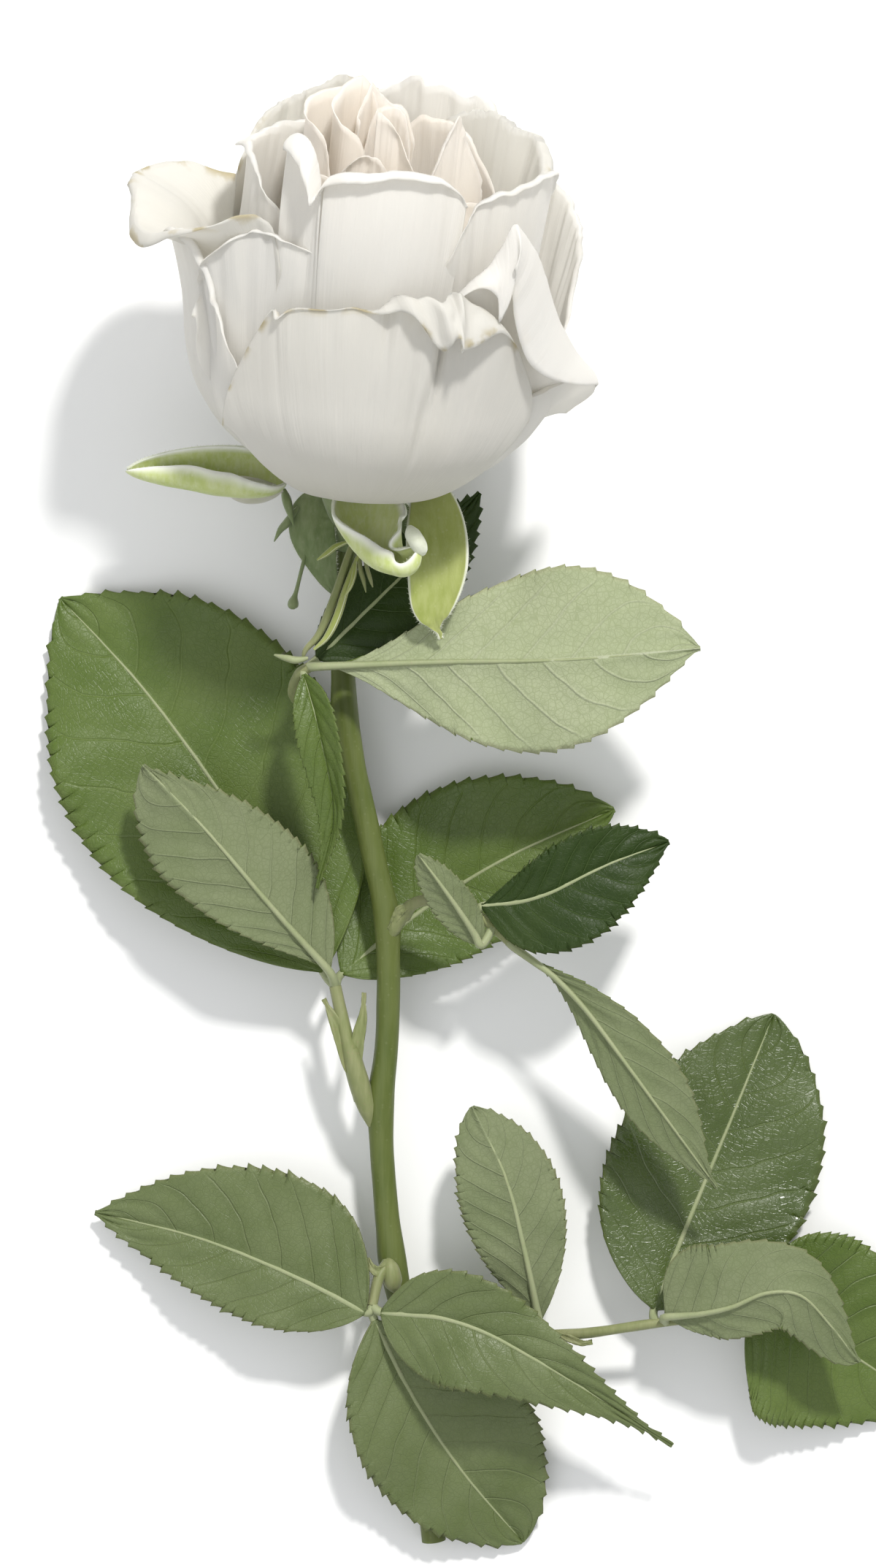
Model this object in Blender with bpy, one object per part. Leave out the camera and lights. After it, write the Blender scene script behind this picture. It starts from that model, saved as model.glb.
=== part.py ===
# A cut rose lying on a surface: one bloom, its hip and sepals, a stem and five compound leaves.
# The origin is on the surface, under the middle of the whole rose. +Y runs from the cut end to the
# bloom, +X is to the right as it is seen from above, and +Z is up. Lengths below are millimetres.
import math
import bpy
import bmesh
from mathutils import Vector

MM = 0.001
ORIGIN = Vector((10.1, -6.2, 0.0))

STEM_RADIUS = 2.35
STALK_RADIUS = 0.85
LEAF_THICKNESS = 0.5
SEPAL_THICKNESS = 0.8
PETAL_THICKNESS = 0.6
GAP = 0.3
LEAF_TIP_HALF_WIDTH = 0.45
LEAF_RIPPLES = 19.0
LEAF_RIPPLE_OFFSET = 1.5

PETAL_COLOUR = (0.86, 0.84, 0.80)
BUD_COLOUR = (0.88, 0.84, 0.78)
HIP_COLOUR = (0.30, 0.40, 0.16)
SEPAL_COLOUR = (0.48, 0.58, 0.30)
STEM_COLOUR = (0.25, 0.36, 0.10)
STALK_COLOUR = (0.36, 0.45, 0.20)
LEAF_COLOUR = (0.10, 0.20, 0.06)

# Grid columns and rows of each kind of thin piece, and points and roundness of each rod.
PETAL_GRID = (9, 9)
BUD_GRID = (7, 7)
SEPAL_GRID = (8, 4)
LEAF_GRID = (10, 6)
STEM_ROD = (30, 2)
HIP_ROD = (9, 3)
STALK_ROD = (13, 1)

# The bloom's axis leans 24 degrees up from the surface and a little to the right.
BLOOM_BASE = Vector((-16.0, 59.0, 24.57))
BLOOM_AXIS = Vector((0.105, 0.908, 0.405)).normalized()
BLOOM_FRONT = (Vector((0, 0, 1)) - BLOOM_AXIS * BLOOM_AXIS.z).normalized()
BLOOM_RIGHT = BLOOM_AXIS.cross(BLOOM_FRONT)
BELLY_HEIGHT = 25.0
PETAL_BASE_RADIUS = 6.5
PETAL_BASE_STEP = 0.75
PETAL_BASE_SHARE = 0.6
ROW_GATHERING = 1.6
LIP_REACH = 60.0
LIP_SHARE = 0.22
BACK_FLATTENING = 0.05
HIP_LENGTH = 15.0
HIP_RADII = (STEM_RADIUS, 2.9, 4.8, 6.2, 5.6)

for old in list(bpy.data.objects):
    bpy.data.objects.remove(old)


def material(name, colour, roughness):
    made = bpy.data.materials.new(name)
    made.use_nodes = True
    shader = made.node_tree.nodes["Principled BSDF"]
    shader.inputs["Base Color"].default_value = (*colour, 1.0)
    shader.inputs["Roughness"].default_value = roughness
    shader.inputs["Metallic"].default_value = 0.0
    return made


def through(points, place):
    # A smooth curve through the given points; place runs from 0 at the first to 1 at the last.
    last = len(points) - 1
    scaled = min(max(place, 0.0), 1.0) * last
    start = min(int(scaled), last - 1)
    part = scaled - start
    here = Vector(points[start])
    there = Vector(points[start + 1])
    before = Vector(points[start - 1]) if start > 0 else here * 2.0 - there
    after = Vector(points[start + 2]) if start + 2 <= last else there * 2.0 - here
    bend = (before * -1.0 + here * 3.0 - there * 3.0 + after) * part ** 3
    curl = (before * 2.0 - here * 5.0 + there * 4.0 - after) * part ** 2
    return here + (bend + curl + (there - before) * part) * 0.5


def place_in_metres(point):
    return (point - ORIGIN) * MM


def sheet(name, surface, grid, thickness, finish):
    # A thin closed body: surface(s, t) gives a point for s from 0 to 1 and t from -1 to 1.
    columns, rows = grid
    mesh = bpy.data.meshes.new(name)
    shape = bmesh.new()
    bmesh.ops.create_grid(shape, x_segments=columns, y_segments=rows, size=1.0)
    for corner in shape.verts:
        corner.co = place_in_metres(surface(corner.co.x * 0.5 + 0.5, corner.co.y))
    shape.to_mesh(mesh)
    shape.free()
    mesh.shade_smooth()
    mesh.materials.append(finish)
    made = bpy.data.objects.new(name, mesh)
    bpy.context.collection.objects.link(made)
    wall = made.modifiers.new("Thickness", "SOLIDIFY")
    wall.thickness = thickness * MM
    wall.offset = 0.0
    return made


def rod(name, route, radii, detail, finish):
    # A round rod along a smooth route, its radius following its own list from end to end.
    points, roundness = detail
    line = bpy.data.curves.new(name, "CURVE")
    line.dimensions = "3D"
    line.bevel_depth = MM
    line.bevel_resolution = roundness
    line.use_fill_caps = True
    spline = line.splines.new("POLY")
    spline.points.add(points - 1)
    for index, point in enumerate(spline.points):
        part = index / (points - 1)
        point.co = (*place_in_metres(through(route, part)), 1.0)
        point.radius = through([(value, 0, 0) for value in radii], part).x
    line.materials.append(finish)
    made = bpy.data.objects.new(name, line)
    bpy.context.collection.objects.link(made)
    return made


def in_bloom(azimuth, radius, height):
    # Azimuth 0 is the side that looks up, +90 is the right side; height runs along the bloom's axis.
    turn = math.radians(azimuth)
    pressed = radius * (1.0 - BACK_FLATTENING * (1.0 - math.cos(turn)) * 0.5)
    outward = BLOOM_FRONT * math.cos(turn) + BLOOM_RIGHT * math.sin(turn)
    return BLOOM_BASE + BLOOM_AXIS * height + outward * pressed


def petal_surface(rank, belly, edge, lip):
    # edge lists (azimuth, flare, height) round the free margin, where flare is how far the margin
    # stands out from the cup; lip lists how far the margin rolls over (out, up), side to side.
    base_radius = min(PETAL_BASE_RADIUS, belly * PETAL_BASE_SHARE)
    base_height = rank * PETAL_BASE_STEP
    middle = edge[len(edge) // 2][0]
    lips = [(*step, 0.0) for step in lip]

    def cup(height):
        part = min(max((height - base_height) / BELLY_HEIGHT, 0.0), 1.0)
        return base_radius + (belly - base_radius) * math.sqrt(1.0 - (1.0 - part) ** 2)

    def surface(s, t):
        azimuth, flare, edge_height = through(edge, t * 0.5 + 0.5)
        roll_over = through(lips, t * 0.5 + 0.5)
        upright = 1.0 - min(roll_over.length / LIP_REACH, LIP_SHARE)
        rise = min(s / upright, 1.0)
        roll = max(s - upright, 0.0) / max(1.0 - upright, 0.001)
        height = base_height + (edge_height - base_height) * rise ** ROW_GATHERING
        radius = cup(height) + flare * rise ** 3
        spread = PETAL_BASE_SHARE + (1.0 - PETAL_BASE_SHARE) * s ** 0.7
        radius += roll_over.x * roll
        height += roll_over.y * roll ** 2
        return in_bloom(middle + (azimuth - middle) * spread, radius, height)

    return surface


FLAT_LIP = [(0, 0), (0, 0)]
SHOWN_PETALS = {
    "petal_front_outer": dict(
        rank=0, belly=38.5, lip=[(0, 0), (0.5, -0.3), (1.5, -1)],
        edge=[(-44, 0, 20), (-29, -2, 43), (-4, -2.5, 47), (24, -0.5, 47), (56, 0, 28)]),
    "petal_back_outer": dict(
        rank=1, belly=38.0, lip=[(1, 0), (4, -2), (1, 0)],
        edge=[(-232, 0, 30), (-208, 0, 48), (-180, 0, 53), (-152, 0, 48), (-130, 0, 30)]),
    "petal_right_low": dict(
        rank=2, belly=37.0, lip=[(0, 0), (1, 0), (2, -0.5), (1, 0), (0, 0)],
        edge=[(32, 0, 16), (56, -0.5, 26), (84, 1, 30), (104, 1.4, 32), (124, 0, 26)]),
    "petal_left_outer": dict(
        rank=3, belly=36.8, lip=[(0, 0), (0.5, 0), (1, 0), (0, 0)],
        edge=[(-126, 0, 36), (-98, 0, 46), (-70, 1.6, 49), (-55, 0, 42), (-36, -0.8, 24)]),
    "petal_right_back": dict(
        rank=4, belly=35.6, lip=[(1, 0), (2, 0), (2, 0), (0, 0)],
        edge=[(84, 0, 32), (104, 2.4, 49), (122, 3.4, 55), (140, 1.4, 52), (162, 0, 45)]),
    "petal_left_back": dict(
        rank=5, belly=35.4, lip=[(0, 0), (3, -2), (0, 0)],
        edge=[(-188, -1, 50), (-170, -1.4, 61), (-152, -1.2, 63), (-138, -0.6, 56), (-124, 0, 40)]),
    "petal_right_front": dict(
        rank=6, belly=34.2, lip=[(2, -1), (1, 0), (7, -3), (12, -19), (4, -3)],
        edge=[(26, 1.2, 46), (38, 1.2, 56), (52, 1.8, 60), (70, 2.4, 50), (90, 1.2, 40)]),
    "petal_left_curled": dict(
        rank=7, belly=33.0, lip=[(0, 0), (6, -2), (13, -5), (12, -7), (2, -1)],
        edge=[(-124, -1, 46), (-110, -1, 55), (-90, 0, 58), (-66, -0.6, 56), (-42, -1.4, 50)]),
    "petal_front_inner": dict(
        rank=8, belly=31.8, lip=[(0, 0), (1.5, -1), (0, 0)],
        edge=[(-37, -0.8, 38), (-38, -2.2, 64), (-4, -4.2, 69.5), (31, -3.8, 67), (37, -0.8, 38)]),
    "petal_top_back": dict(
        rank=9, belly=30.6, lip=[(2, 0), (3, -1), (1, 0)],
        edge=[(132, 0.4, 60), (148, -0.6, 69), (166, -2, 72), (184, -2.4, 71), (200, -1.2, 60)]),
    "petal_left_inner": dict(
        rank=10, belly=29.4, lip=FLAT_LIP,
        edge=[(-92, 0, 40), (-76, 0, 50), (-56, 0, 54), (-42, -0.4, 52), (-26, 0, 40)]),
    "petal_right_inner": dict(
        rank=10, belly=29.4, lip=FLAT_LIP,
        edge=[(20, -0.8, 42), (34, -1.8, 57), (50, -0.2, 63), (68, 0.8, 57), (88, 0.4, 42)]),
    "petal_upper_left": dict(
        rank=11, belly=28.2, lip=[(0, 0), (2, -1), (2, -1), (0, 0)],
        edge=[(-172, -3, 62), (-152, -0.6, 67), (-134, 1, 64), (-114, 0.6, 57), (-92, 0, 44)]),
    "petal_top_right": dict(
        rank=12, belly=27.0, lip=[(0, 0), (5, -2), (3, -1), (0, 0)],
        edge=[(60, -0.6, 46), (84, 0.6, 60), (110, 3, 66), (134, 0, 67), (156, -1, 60)]),
}

BUD_PETALS = 10
BUD_FIRST_RANK = 13
BUD_FIRST_AZIMUTH = 30.0
GOLDEN_ANGLE = 137.5
BUD_OUTSIDE = 25.4
BUD_INSIDE = 7.0
BUD_FIRST_HEIGHT = 62.0
BUD_LAST_HEIGHT = 72.0
BUD_HALF_ANGLE = 62.0
BUD_LEAN = -0.14
BUD_SHOULDER = 14.0


def bud_petal(index):
    part = index / (BUD_PETALS - 1)
    belly = BUD_OUTSIDE + (BUD_INSIDE - BUD_OUTSIDE) * part
    height = BUD_FIRST_HEIGHT + (BUD_LAST_HEIGHT - BUD_FIRST_HEIGHT) * part
    centre = BUD_FIRST_AZIMUTH + GOLDEN_ANGLE * index
    edge = [
        (centre + BUD_HALF_ANGLE * turn, belly * BUD_LEAN, height - BUD_SHOULDER * abs(turn) ** 3)
        for turn in (-1, -0.5, 0, 0.5, 1)]
    return dict(rank=BUD_FIRST_RANK + index, belly=belly, lip=FLAT_LIP, edge=edge)


def leaf_surface(midrib, left, right, fullness, fold, tilt, wave=0.0):
    # left and right are (half width, where it is widest), fold is how far the halves lift,
    # and tilt is the turn about the midrib at each end.
    lifted = math.radians(fold)

    def outline(place, widest):
        rise = fullness * widest
        fall = fullness * (1.0 - widest)
        peak = widest ** rise * (1.0 - widest) ** fall
        return place ** rise * (1.0 - place) ** fall / peak

    def surface(s, t):
        point = through(midrib, s)
        ahead = through(midrib, min(s + 0.02, 1.0))
        behind = through(midrib, max(s - 0.02, 0.0))
        along = (ahead - behind).normalized()
        side = Vector((0, 0, 1)).cross(along).normalized()
        up = along.cross(side)
        turn = math.radians(tilt[0] + (tilt[1] - tilt[0]) * s)
        across = side * math.cos(turn) + up * math.sin(turn)
        over = up * math.cos(turn) - side * math.sin(turn)
        width, widest = left if t > 0 else right
        reach = max(abs(t) * width * outline(s, widest), abs(t) * LEAF_TIP_HALF_WIDTH)
        offset = LEAF_RIPPLE_OFFSET if t > 0 else 0.0
        ripple = wave * math.sin(s * LEAF_RIPPLES + offset) * abs(t) ** 2 * math.sin(math.pi * s)
        flat = math.copysign(reach * math.cos(lifted), t)
        return point + across * flat + over * (math.sin(lifted) * reach + ripple)

    return surface


LEAFLETS = {
    "leaflet_a_right": dict(
        midrib=[(-22.4, 22.4, 26.8), (0.0, 23.2, 28.5), (25.0, 23.6, 31.5), (49.8, 25.7, 33)],
        left=(17.2, 0.62), right=(17.6, 0.60), fullness=2.2, fold=-5, tilt=(4, -6), wave=0.4),
    "leaflet_a_behind": dict(
        midrib=[(-23.0, 24.0, 24.2), (-14.0, 32.9, 23), (-2.8, 44.1, 20), (8.0, 56.0, 16)],
        left=(6.5, 0.40), right=(11.0, 0.45), fullness=1.7, fold=2, tilt=(0, 0)),
    "leaflet_a_narrow": dict(
        midrib=[(-25.6, 20.9, 26.2), (-22.6, 9.6, 27.5), (-20.0, -6.0, 24), (-23.0, -20.0, 19)],
        left=(5.0, 0.32), right=(4.6, 0.36), fullness=2.2, fold=30, tilt=(10, 35)),
    "leaflet_b_left": dict(
        midrib=[(-22.2, -36.2, 12.2), (-37.5, -9.0, 8.5), (-56.0, 17.0, 5.5), (-73.6, 36.2, 0.25)],
        left=(25.0, 0.47), right=(28.5, 0.54), fullness=1.9, fold=3, tilt=(3, -1), wave=0.5),
    "leaflet_b_front": dict(
        midrib=[(-21.0, -36.0, 15.4), (-32.0, -23.5, 20), (-44.0, -9.3, 22), (-56.6, 3.6, 19)],
        left=(12.3, 0.66), right=(12.5, 0.38), fullness=2.0, fold=-8, tilt=(24, -14), wave=0.4),
    "leaflet_b_right": dict(
        midrib=[(-18.6, -36.6, 9.8), (-2.8, -24.3, 5.8), (14.1, -13.9, 7), (34.2, -4.9, 8)],
        left=(18.5, 0.48), right=(13.0, 0.46), fullness=1.6, fold=2, tilt=(-10, 0), wave=0.4),
    "leaflet_c_right": dict(
        midrib=[(8.4, -23.4, 23.2), (19.5, -21.5, 25), (32.1, -15.5, 25), (44.2, -11.1, 22)],
        left=(7.8, 0.55), right=(11.5, 0.43), fullness=1.8, fold=6, tilt=(0, 0), wave=0.3),
    "leaflet_c_small": dict(
        midrib=[(7.6, -25.4, 24.4), (4.0, -24.0, 26.5), (-1.0, -21.0, 28.5), (-5.4, -18.6, 29.5)],
        left=(6.3, 0.40), right=(6.5, 0.62), fullness=1.3, fold=-14, tilt=(0, 0)),
    "leaflet_c_hanging": dict(
        midrib=[(14.8, -31.4, 21), (25.8, -40.3, 23), (40.0, -59.0, 24), (53.5, -77.4, 19)],
        left=(7.8, 0.62), right=(5.8, 0.66), fullness=4.4, fold=-6, tilt=(50, -5)),
    "leaflet_d_left": dict(
        midrib=[(-14.0, -101.8, 14.4), (-29.0, -94.6, 11), (-46.7, -87.9, 7.5), (-66.7, -83.3, 3)],
        left=(11.3, 0.42), right=(18.0, 0.40), fullness=1.7, fold=4, tilt=(0, 0), wave=0.5),
    "leaflet_d_bottom": dict(
        midrib=[(-12.3, -103.4, 13.4), (-5.0, -118.0, 12), (4.5, -133.0, 7), (16.5, -147.6, 1.2)],
        left=(18.5, 0.56), right=(15.0, 0.50), fullness=1.6, fold=6, tilt=(-4, 4), wave=0.5),
    "leaflet_d_right": dict(
        midrib=[(-11.0, -101.7, 15.2), (5.6, -103.8, 20), (25.2, -114.3, 20), (45.2, -127.5, 13)],
        left=(9.6, 0.30), right=(12.5, 0.29), fullness=2.6, fold=6, tilt=(0, 0), wave=0.5),
    "leaflet_e_upright": dict(
        midrib=[(19.6, -104.2, 10.8), (16.6, -89.6, 14), (12.9, -75.4, 16), (6.5, -62.1, 15)],
        left=(10.0, 0.56), right=(9.5, 0.54), fullness=1.7, fold=-5, tilt=(-4, 6), wave=0.3),
    "leaflet_e_large": dict(
        midrib=[(41.8, -101.6, 10.0), (49.0, -84.0, 6.0), (57.5, -64.0, 3.5), (65.4, -44.8, 1.0)],
        left=(19.5, 0.44), right=(20.4, 0.50), fullness=1.5, fold=3, tilt=(0, 2), wave=0.5),
    "leaflet_e_front": dict(
        midrib=[(43.8, -102.6, 15.4), (54.0, -101.0, 20), (68.1, -97.2, 23), (81.0, -111.0, 17)],
        left=(13.0, 0.26), right=(7.5, 0.62), fullness=1.4, fold=-10, tilt=(10, -10), wave=0.3),
    "leaflet_e_right": dict(
        midrib=[(60.2, -102.0, 10.4), (68.0, -104.5, 9), (79.0, -110.0, 5), (94.0, -120.0, 0.25)],
        left=(20.0, 0.46), right=(19.0, 0.44), fullness=1.3, fold=4, tilt=(-2, 0), wave=0.4),
}

SEPALS = {
    "sepal_left": dict(
        midrib=[(-24.4, 55.8, 24.2), (-34.8, 57.6, 26), (-47.2, 60.0, 28), (-59.6, 59.4, 26)],
        left=(5.0, 0.45), right=(4.5, 0.40), fullness=1.6, fold=25, tilt=(0, 0)),
    "sepal_front": dict(
        midrib=[(-15.8, 53.4, 32.4), (-14.0, 46.8, 35), (-8.6, 42.8, 38), (-5.0, 45.4, 43)],
        left=(5.5, 0.45), right=(6.0, 0.40), fullness=1.5, fold=18, tilt=(0, 0)),
    "sepal_right": dict(
        midrib=[(-8.0, 54.6, 25.2), (0.0, 50.4, 29.4), (2.1, 40.6, 31), (0.6, 28.0, 32)],
        left=(5.5, 0.40), right=(5.5, 0.38), fullness=1.8, fold=8, tilt=(0, 0)),
    "sepal_back_left": dict(
        midrib=[(-23.2, 53.4, 20.4), (-26.0, 49.0, 20), (-25.6, 43.0, 21), (-23.6, 37.1, 21)],
        left=(4.0, 0.40), right=(4.0, 0.40), fullness=1.6, fold=15, tilt=(20, 20)),
    "sepal_under": dict(
        midrib=[(-11.6, 56.0, 15.6), (-8.6, 50.0, 11), (-7.6, 43.0, 9), (-7.0, 35.0, 8)],
        left=(4.8, 0.40), right=(4.8, 0.40), fullness=1.6, fold=10, tilt=(0, 0)),
}

STEM_ROUTE = [
    (-18.3, 36.8, 16.2), (-18.3, 22.0, 15.8), (-16.9, 7.5, 15.8), (-13.1, -10.8, 15.1),
    (-10.0, -26.5, 14.2), (-9.7, -46.0, 12.6), (-11.0, -65.8, 10.8), (-9.3, -88.6, 8.4),
    (-6.1, -107.1, 6.4), (-3.1, -128.5, 4.4), (-0.8, -147.2, 2.33)]
STALKS = {
    "leaf_stalk_a": [
        (-21.4, 13.2, 15.2), (-25.0, 14.4, 16), (-27.7, 17.3, 20), (-26.6, 20.9, 24.4), (-24.6, 22.3, 25.6)],
    "leaf_stalk_b": [(-14.4, -60.8, 12.5), (-16.2, -54.4, 14), (-18.0, -47.3, 14.2), (-19.8, -39.0, 13.6)],
    "leaf_stalk_c": [
        (-6.6, -25.4, 16.6), (-5.0, -23.2, 18.8), (-1.8, -22.2, 20.8), (3.0, -22.8, 21.8),
        (7.6, -25.0, 21.8), (13.6, -30.2, 21)],
    "leaf_stalk_d": [(-11.4, -91.4, 10.4), (-12.2, -95.2, 12), (-12.7, -100.6, 13.4)],
    "leaf_stalk_e": [
        (-3.4, -111.0, 8.8), (6.0, -109.0, 7.4), (19.1, -106.9, 8.4), (29.0, -106.1, 10.4),
        (41.0, -104.2, 12.2), (50.0, -103.2, 11.2), (58.8, -102.4, 10.4)],
}


def build_bloom():
    for name, shape in SHOWN_PETALS.items():
        finish = material(name, PETAL_COLOUR, 0.55)
        sheet(name, petal_surface(**shape), PETAL_GRID, PETAL_THICKNESS, finish)
    for index in range(BUD_PETALS):
        name = "petal_bud_%02d" % (index + 1)
        finish = material(name, BUD_COLOUR, 0.55)
        sheet(name, petal_surface(**bud_petal(index)), BUD_GRID, PETAL_THICKNESS, finish)


def build_hip():
    finish = material("hip", HIP_COLOUR, 0.6)
    bottom = BLOOM_BASE - BLOOM_AXIS * HIP_LENGTH
    top = BLOOM_BASE - BLOOM_AXIS * (PETAL_THICKNESS * 0.5 + GAP)
    route = [bottom, bottom.lerp(top, 0.25), bottom.lerp(top, 0.5), bottom.lerp(top, 0.75), top]
    rod("hip", route, HIP_RADII, HIP_ROD, finish)


def build_sepals():
    for name, shape in SEPALS.items():
        finish = material(name, SEPAL_COLOUR, 0.7)
        sheet(name, leaf_surface(**shape), SEPAL_GRID, SEPAL_THICKNESS, finish)


def build_stem():
    finish = material("stem", STEM_COLOUR, 0.5)
    neck = BLOOM_BASE - BLOOM_AXIS * (HIP_LENGTH + GAP * 2.0)
    rod("stem", [neck] + STEM_ROUTE, (STEM_RADIUS,) * 4, STEM_ROD, finish)


def build_stalks():
    radii = (STALK_RADIUS * 1.15, STALK_RADIUS, STALK_RADIUS * 0.9)
    for name, route in STALKS.items():
        rod(name, route, radii, STALK_ROD, material(name, STALK_COLOUR, 0.5))


def build_leaves():
    for name, shape in LEAFLETS.items():
        finish = material(name, LEAF_COLOUR, 0.45)
        sheet(name, leaf_surface(**shape), LEAF_GRID, LEAF_THICKNESS, finish)


build_stem()
build_hip()
build_sepals()
build_stalks()
build_leaves()
build_bloom()
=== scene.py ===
# A cut rose lying on a pale surface: a white bloom, its sepals and hip, a stem and five compound leaves.
import math
import random
import bpy
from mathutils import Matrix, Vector, noise


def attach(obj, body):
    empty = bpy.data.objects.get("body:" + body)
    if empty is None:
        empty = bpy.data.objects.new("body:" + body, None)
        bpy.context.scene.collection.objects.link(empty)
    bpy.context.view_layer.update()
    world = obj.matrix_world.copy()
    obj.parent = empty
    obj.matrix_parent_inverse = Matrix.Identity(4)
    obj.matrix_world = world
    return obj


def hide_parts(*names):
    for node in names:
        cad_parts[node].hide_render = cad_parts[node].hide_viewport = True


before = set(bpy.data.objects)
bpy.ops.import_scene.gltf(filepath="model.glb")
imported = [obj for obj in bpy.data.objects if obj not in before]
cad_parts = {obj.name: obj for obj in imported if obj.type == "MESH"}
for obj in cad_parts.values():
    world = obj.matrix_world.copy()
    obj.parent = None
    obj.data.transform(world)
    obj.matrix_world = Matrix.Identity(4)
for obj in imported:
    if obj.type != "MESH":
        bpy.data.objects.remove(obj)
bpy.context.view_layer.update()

# Shapes are drawn in millimetres on a plan whose own zero lies off the model's middle.
mm = 0.001
planMiddle = Vector((10.1, -6.2, 0.0))
zUp = Vector((0.0, 0.0, 1.0))
bloomBase = Vector((-16.0, 59.0, 24.57))
bloomAxis = Vector((0.105, 0.908, 0.405)).normalized()
bloomFront = (zUp - bloomAxis * bloomAxis.z).normalized()
bloomRight = bloomAxis.cross(bloomFront)


def inMetres(point):
    return (point - planMiddle) * mm


def clamp(value, low=0.0, high=1.0):
    return min(max(value, low), high)


def hill(distance, width):
    return math.exp(-(distance / width) ** 2)


def wobble(x, y, z):
    return noise.noise(Vector((x, y, z)))


def through(points, place):
    # a smooth curve through the points, from place 0 at the first to 1 at the last
    last = len(points) - 1
    scaled = clamp(place) * last
    start = min(int(scaled), last - 1)
    part = scaled - start
    here = Vector(points[start])
    there = Vector(points[start + 1])
    before = Vector(points[start - 1]) if start > 0 else here * 2.0 - there
    after = Vector(points[start + 2]) if start + 2 <= last else there * 2.0 - here
    bend = (before * -1.0 + here * 3.0 - there * 3.0 + after) * part ** 3
    curl = (before * 2.0 - here * 5.0 + there * 4.0 - after) * part ** 2
    return here + (bend + curl + (there - before) * part) * 0.5


def along(numbers, place):
    return through([(value, 0.0, 0.0) for value in numbers], place).x


def pickOnly(piece):
    bpy.ops.object.select_all(action="DESELECT")
    piece.select_set(True)
    bpy.context.view_layer.objects.active = piece


def settle(piece, node):
    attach(piece, "root")
    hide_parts(node)


def makeSheet(name, surface, sheet, skins, placeRow=None):
    # a closed thin body on surface(s, t), for s from 0 to 1 and t from -1 to 1
    bpy.ops.object.select_all(action="DESELECT")
    bpy.ops.mesh.primitive_grid_add(x_subdivisions=sheet["rows"], y_subdivisions=sheet["columns"], size=2.0)
    piece = bpy.context.object
    piece.name = name
    mesh = piece.data
    mesh.name = name
    places = []
    for corner in mesh.vertices:
        s = corner.co.x * 0.5 + 0.5
        places.append((placeRow(s) if placeRow else s, corner.co.y))
    for corner, (s, t) in zip(mesh.vertices, places):
        corner.co = inMetres(surface(s, t))
    layer = mesh.uv_layers.active or mesh.uv_layers.new(name="UVMap")
    for loop in mesh.loops:
        s, t = places[loop.vertex_index]
        layer.data[loop.index].uv = (s, t * 0.5 + 0.5)
    for skin in skins:
        mesh.materials.append(skin)
    thicken = piece.modifiers.new("Wall", "SOLIDIFY")
    thicken.thickness = sheet["wall"] * mm
    thicken.offset = 0.0
    thicken.material_offset = 1
    thicken.material_offset_rim = len(skins) - 1
    pickOnly(piece)
    bpy.ops.object.modifier_apply(modifier=thicken.name)
    mesh.shade_smooth()
    return piece


def makeRod(name, rod, finish):
    # a round rod along a smooth route, closed at both ends
    points = rod["points"]
    line = bpy.data.curves.new(name, "CURVE")
    line.dimensions = "3D"
    line.bevel_depth = mm
    line.bevel_resolution = max(rod["sides"] // 4 - 1, 0)
    line.use_fill_caps = True
    spline = line.splines.new("POLY")
    spline.points.add(points - 1)
    for index, point in enumerate(spline.points):
        part = index / (points - 1)
        point.co = (*inMetres(through(rod["route"], part)), 1.0)
        point.radius = along(rod["radii"], part)
    line.materials.append(finish)
    piece = bpy.data.objects.new(name, line)
    bpy.context.collection.objects.link(piece)
    pickOnly(piece)
    bpy.ops.object.convert(target="MESH")
    piece = bpy.context.object
    piece.data.name = name
    if "roughen" in rod:
        for corner in piece.data.vertices:
            x, y, z = corner.co
            push = wobble(x * 260.0, y * 160.0, z * 260.0) * rod["roughen"] * mm
            corner.co += corner.normal * push
    piece.data.shade_smooth()
    return piece


def addNode(tree, kind, **settings):
    node = tree.nodes.new(kind)
    for key, value in settings.items():
        setattr(node, key, value)
    return node


def feed(tree, socket, value):
    if isinstance(value, bpy.types.NodeSocket):
        tree.links.new(value, socket)
    elif isinstance(value, tuple) and len(value) == 3 and socket.type == "RGBA":
        socket.default_value = (*value, 1.0)
    else:
        socket.default_value = value


def feedAll(tree, node, values):
    for place, value in values.items():
        feed(tree, node.inputs[place], value)
    return node.outputs


def calc(tree, operation, first, second=0.0):
    return feedAll(tree, addNode(tree, "ShaderNodeMath", operation=operation), {0: first, 1: second})[0]


def times(tree, first, second):
    return calc(tree, "MULTIPLY", first, second)


def blendColours(tree, factor, first, second):
    node = addNode(tree, "ShaderNodeMix", data_type="RGBA")
    return feedAll(tree, node, {0: factor, 6: first, 7: second})[2]


def layColour(tree, colour, mask, amount, other):
    # another colour over this one, where the mask is bright
    return blendColours(tree, times(tree, mask, amount), colour, other)


def remap(tree, value, low, high, newLow=0.0, newHigh=1.0):
    node = addNode(tree, "ShaderNodeMapRange", interpolation_type="SMOOTHSTEP")
    return feedAll(tree, node, {0: value, 1: low, 2: high, 3: newLow, 4: newHigh})[0]


def noiseOf(tree, place, scale, detail=3.0, roughness=0.55):
    node = addNode(tree, "ShaderNodeTexNoise")
    values = {"Vector": place, "Scale": scale, "Detail": detail, "Roughness": roughness}
    return feedAll(tree, node, values)["Fac"]


def cellsOf(tree, place, scale, feature="DISTANCE_TO_EDGE"):
    node = addNode(tree, "ShaderNodeTexVoronoi", feature=feature)
    return feedAll(tree, node, {"Vector": place, "Scale": scale})["Distance"]


def ownMap(tree):
    # a piece's own map: from base to tip, and from -1 to 1 across
    coords = addNode(tree, "ShaderNodeTexCoord").outputs
    split = feedAll(tree, addNode(tree, "ShaderNodeSeparateXYZ"), {0: coords["UV"]})
    return coords["Object"], split[0], calc(tree, "SUBTRACT", times(tree, split[1], 2.0), 1.0)


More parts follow.
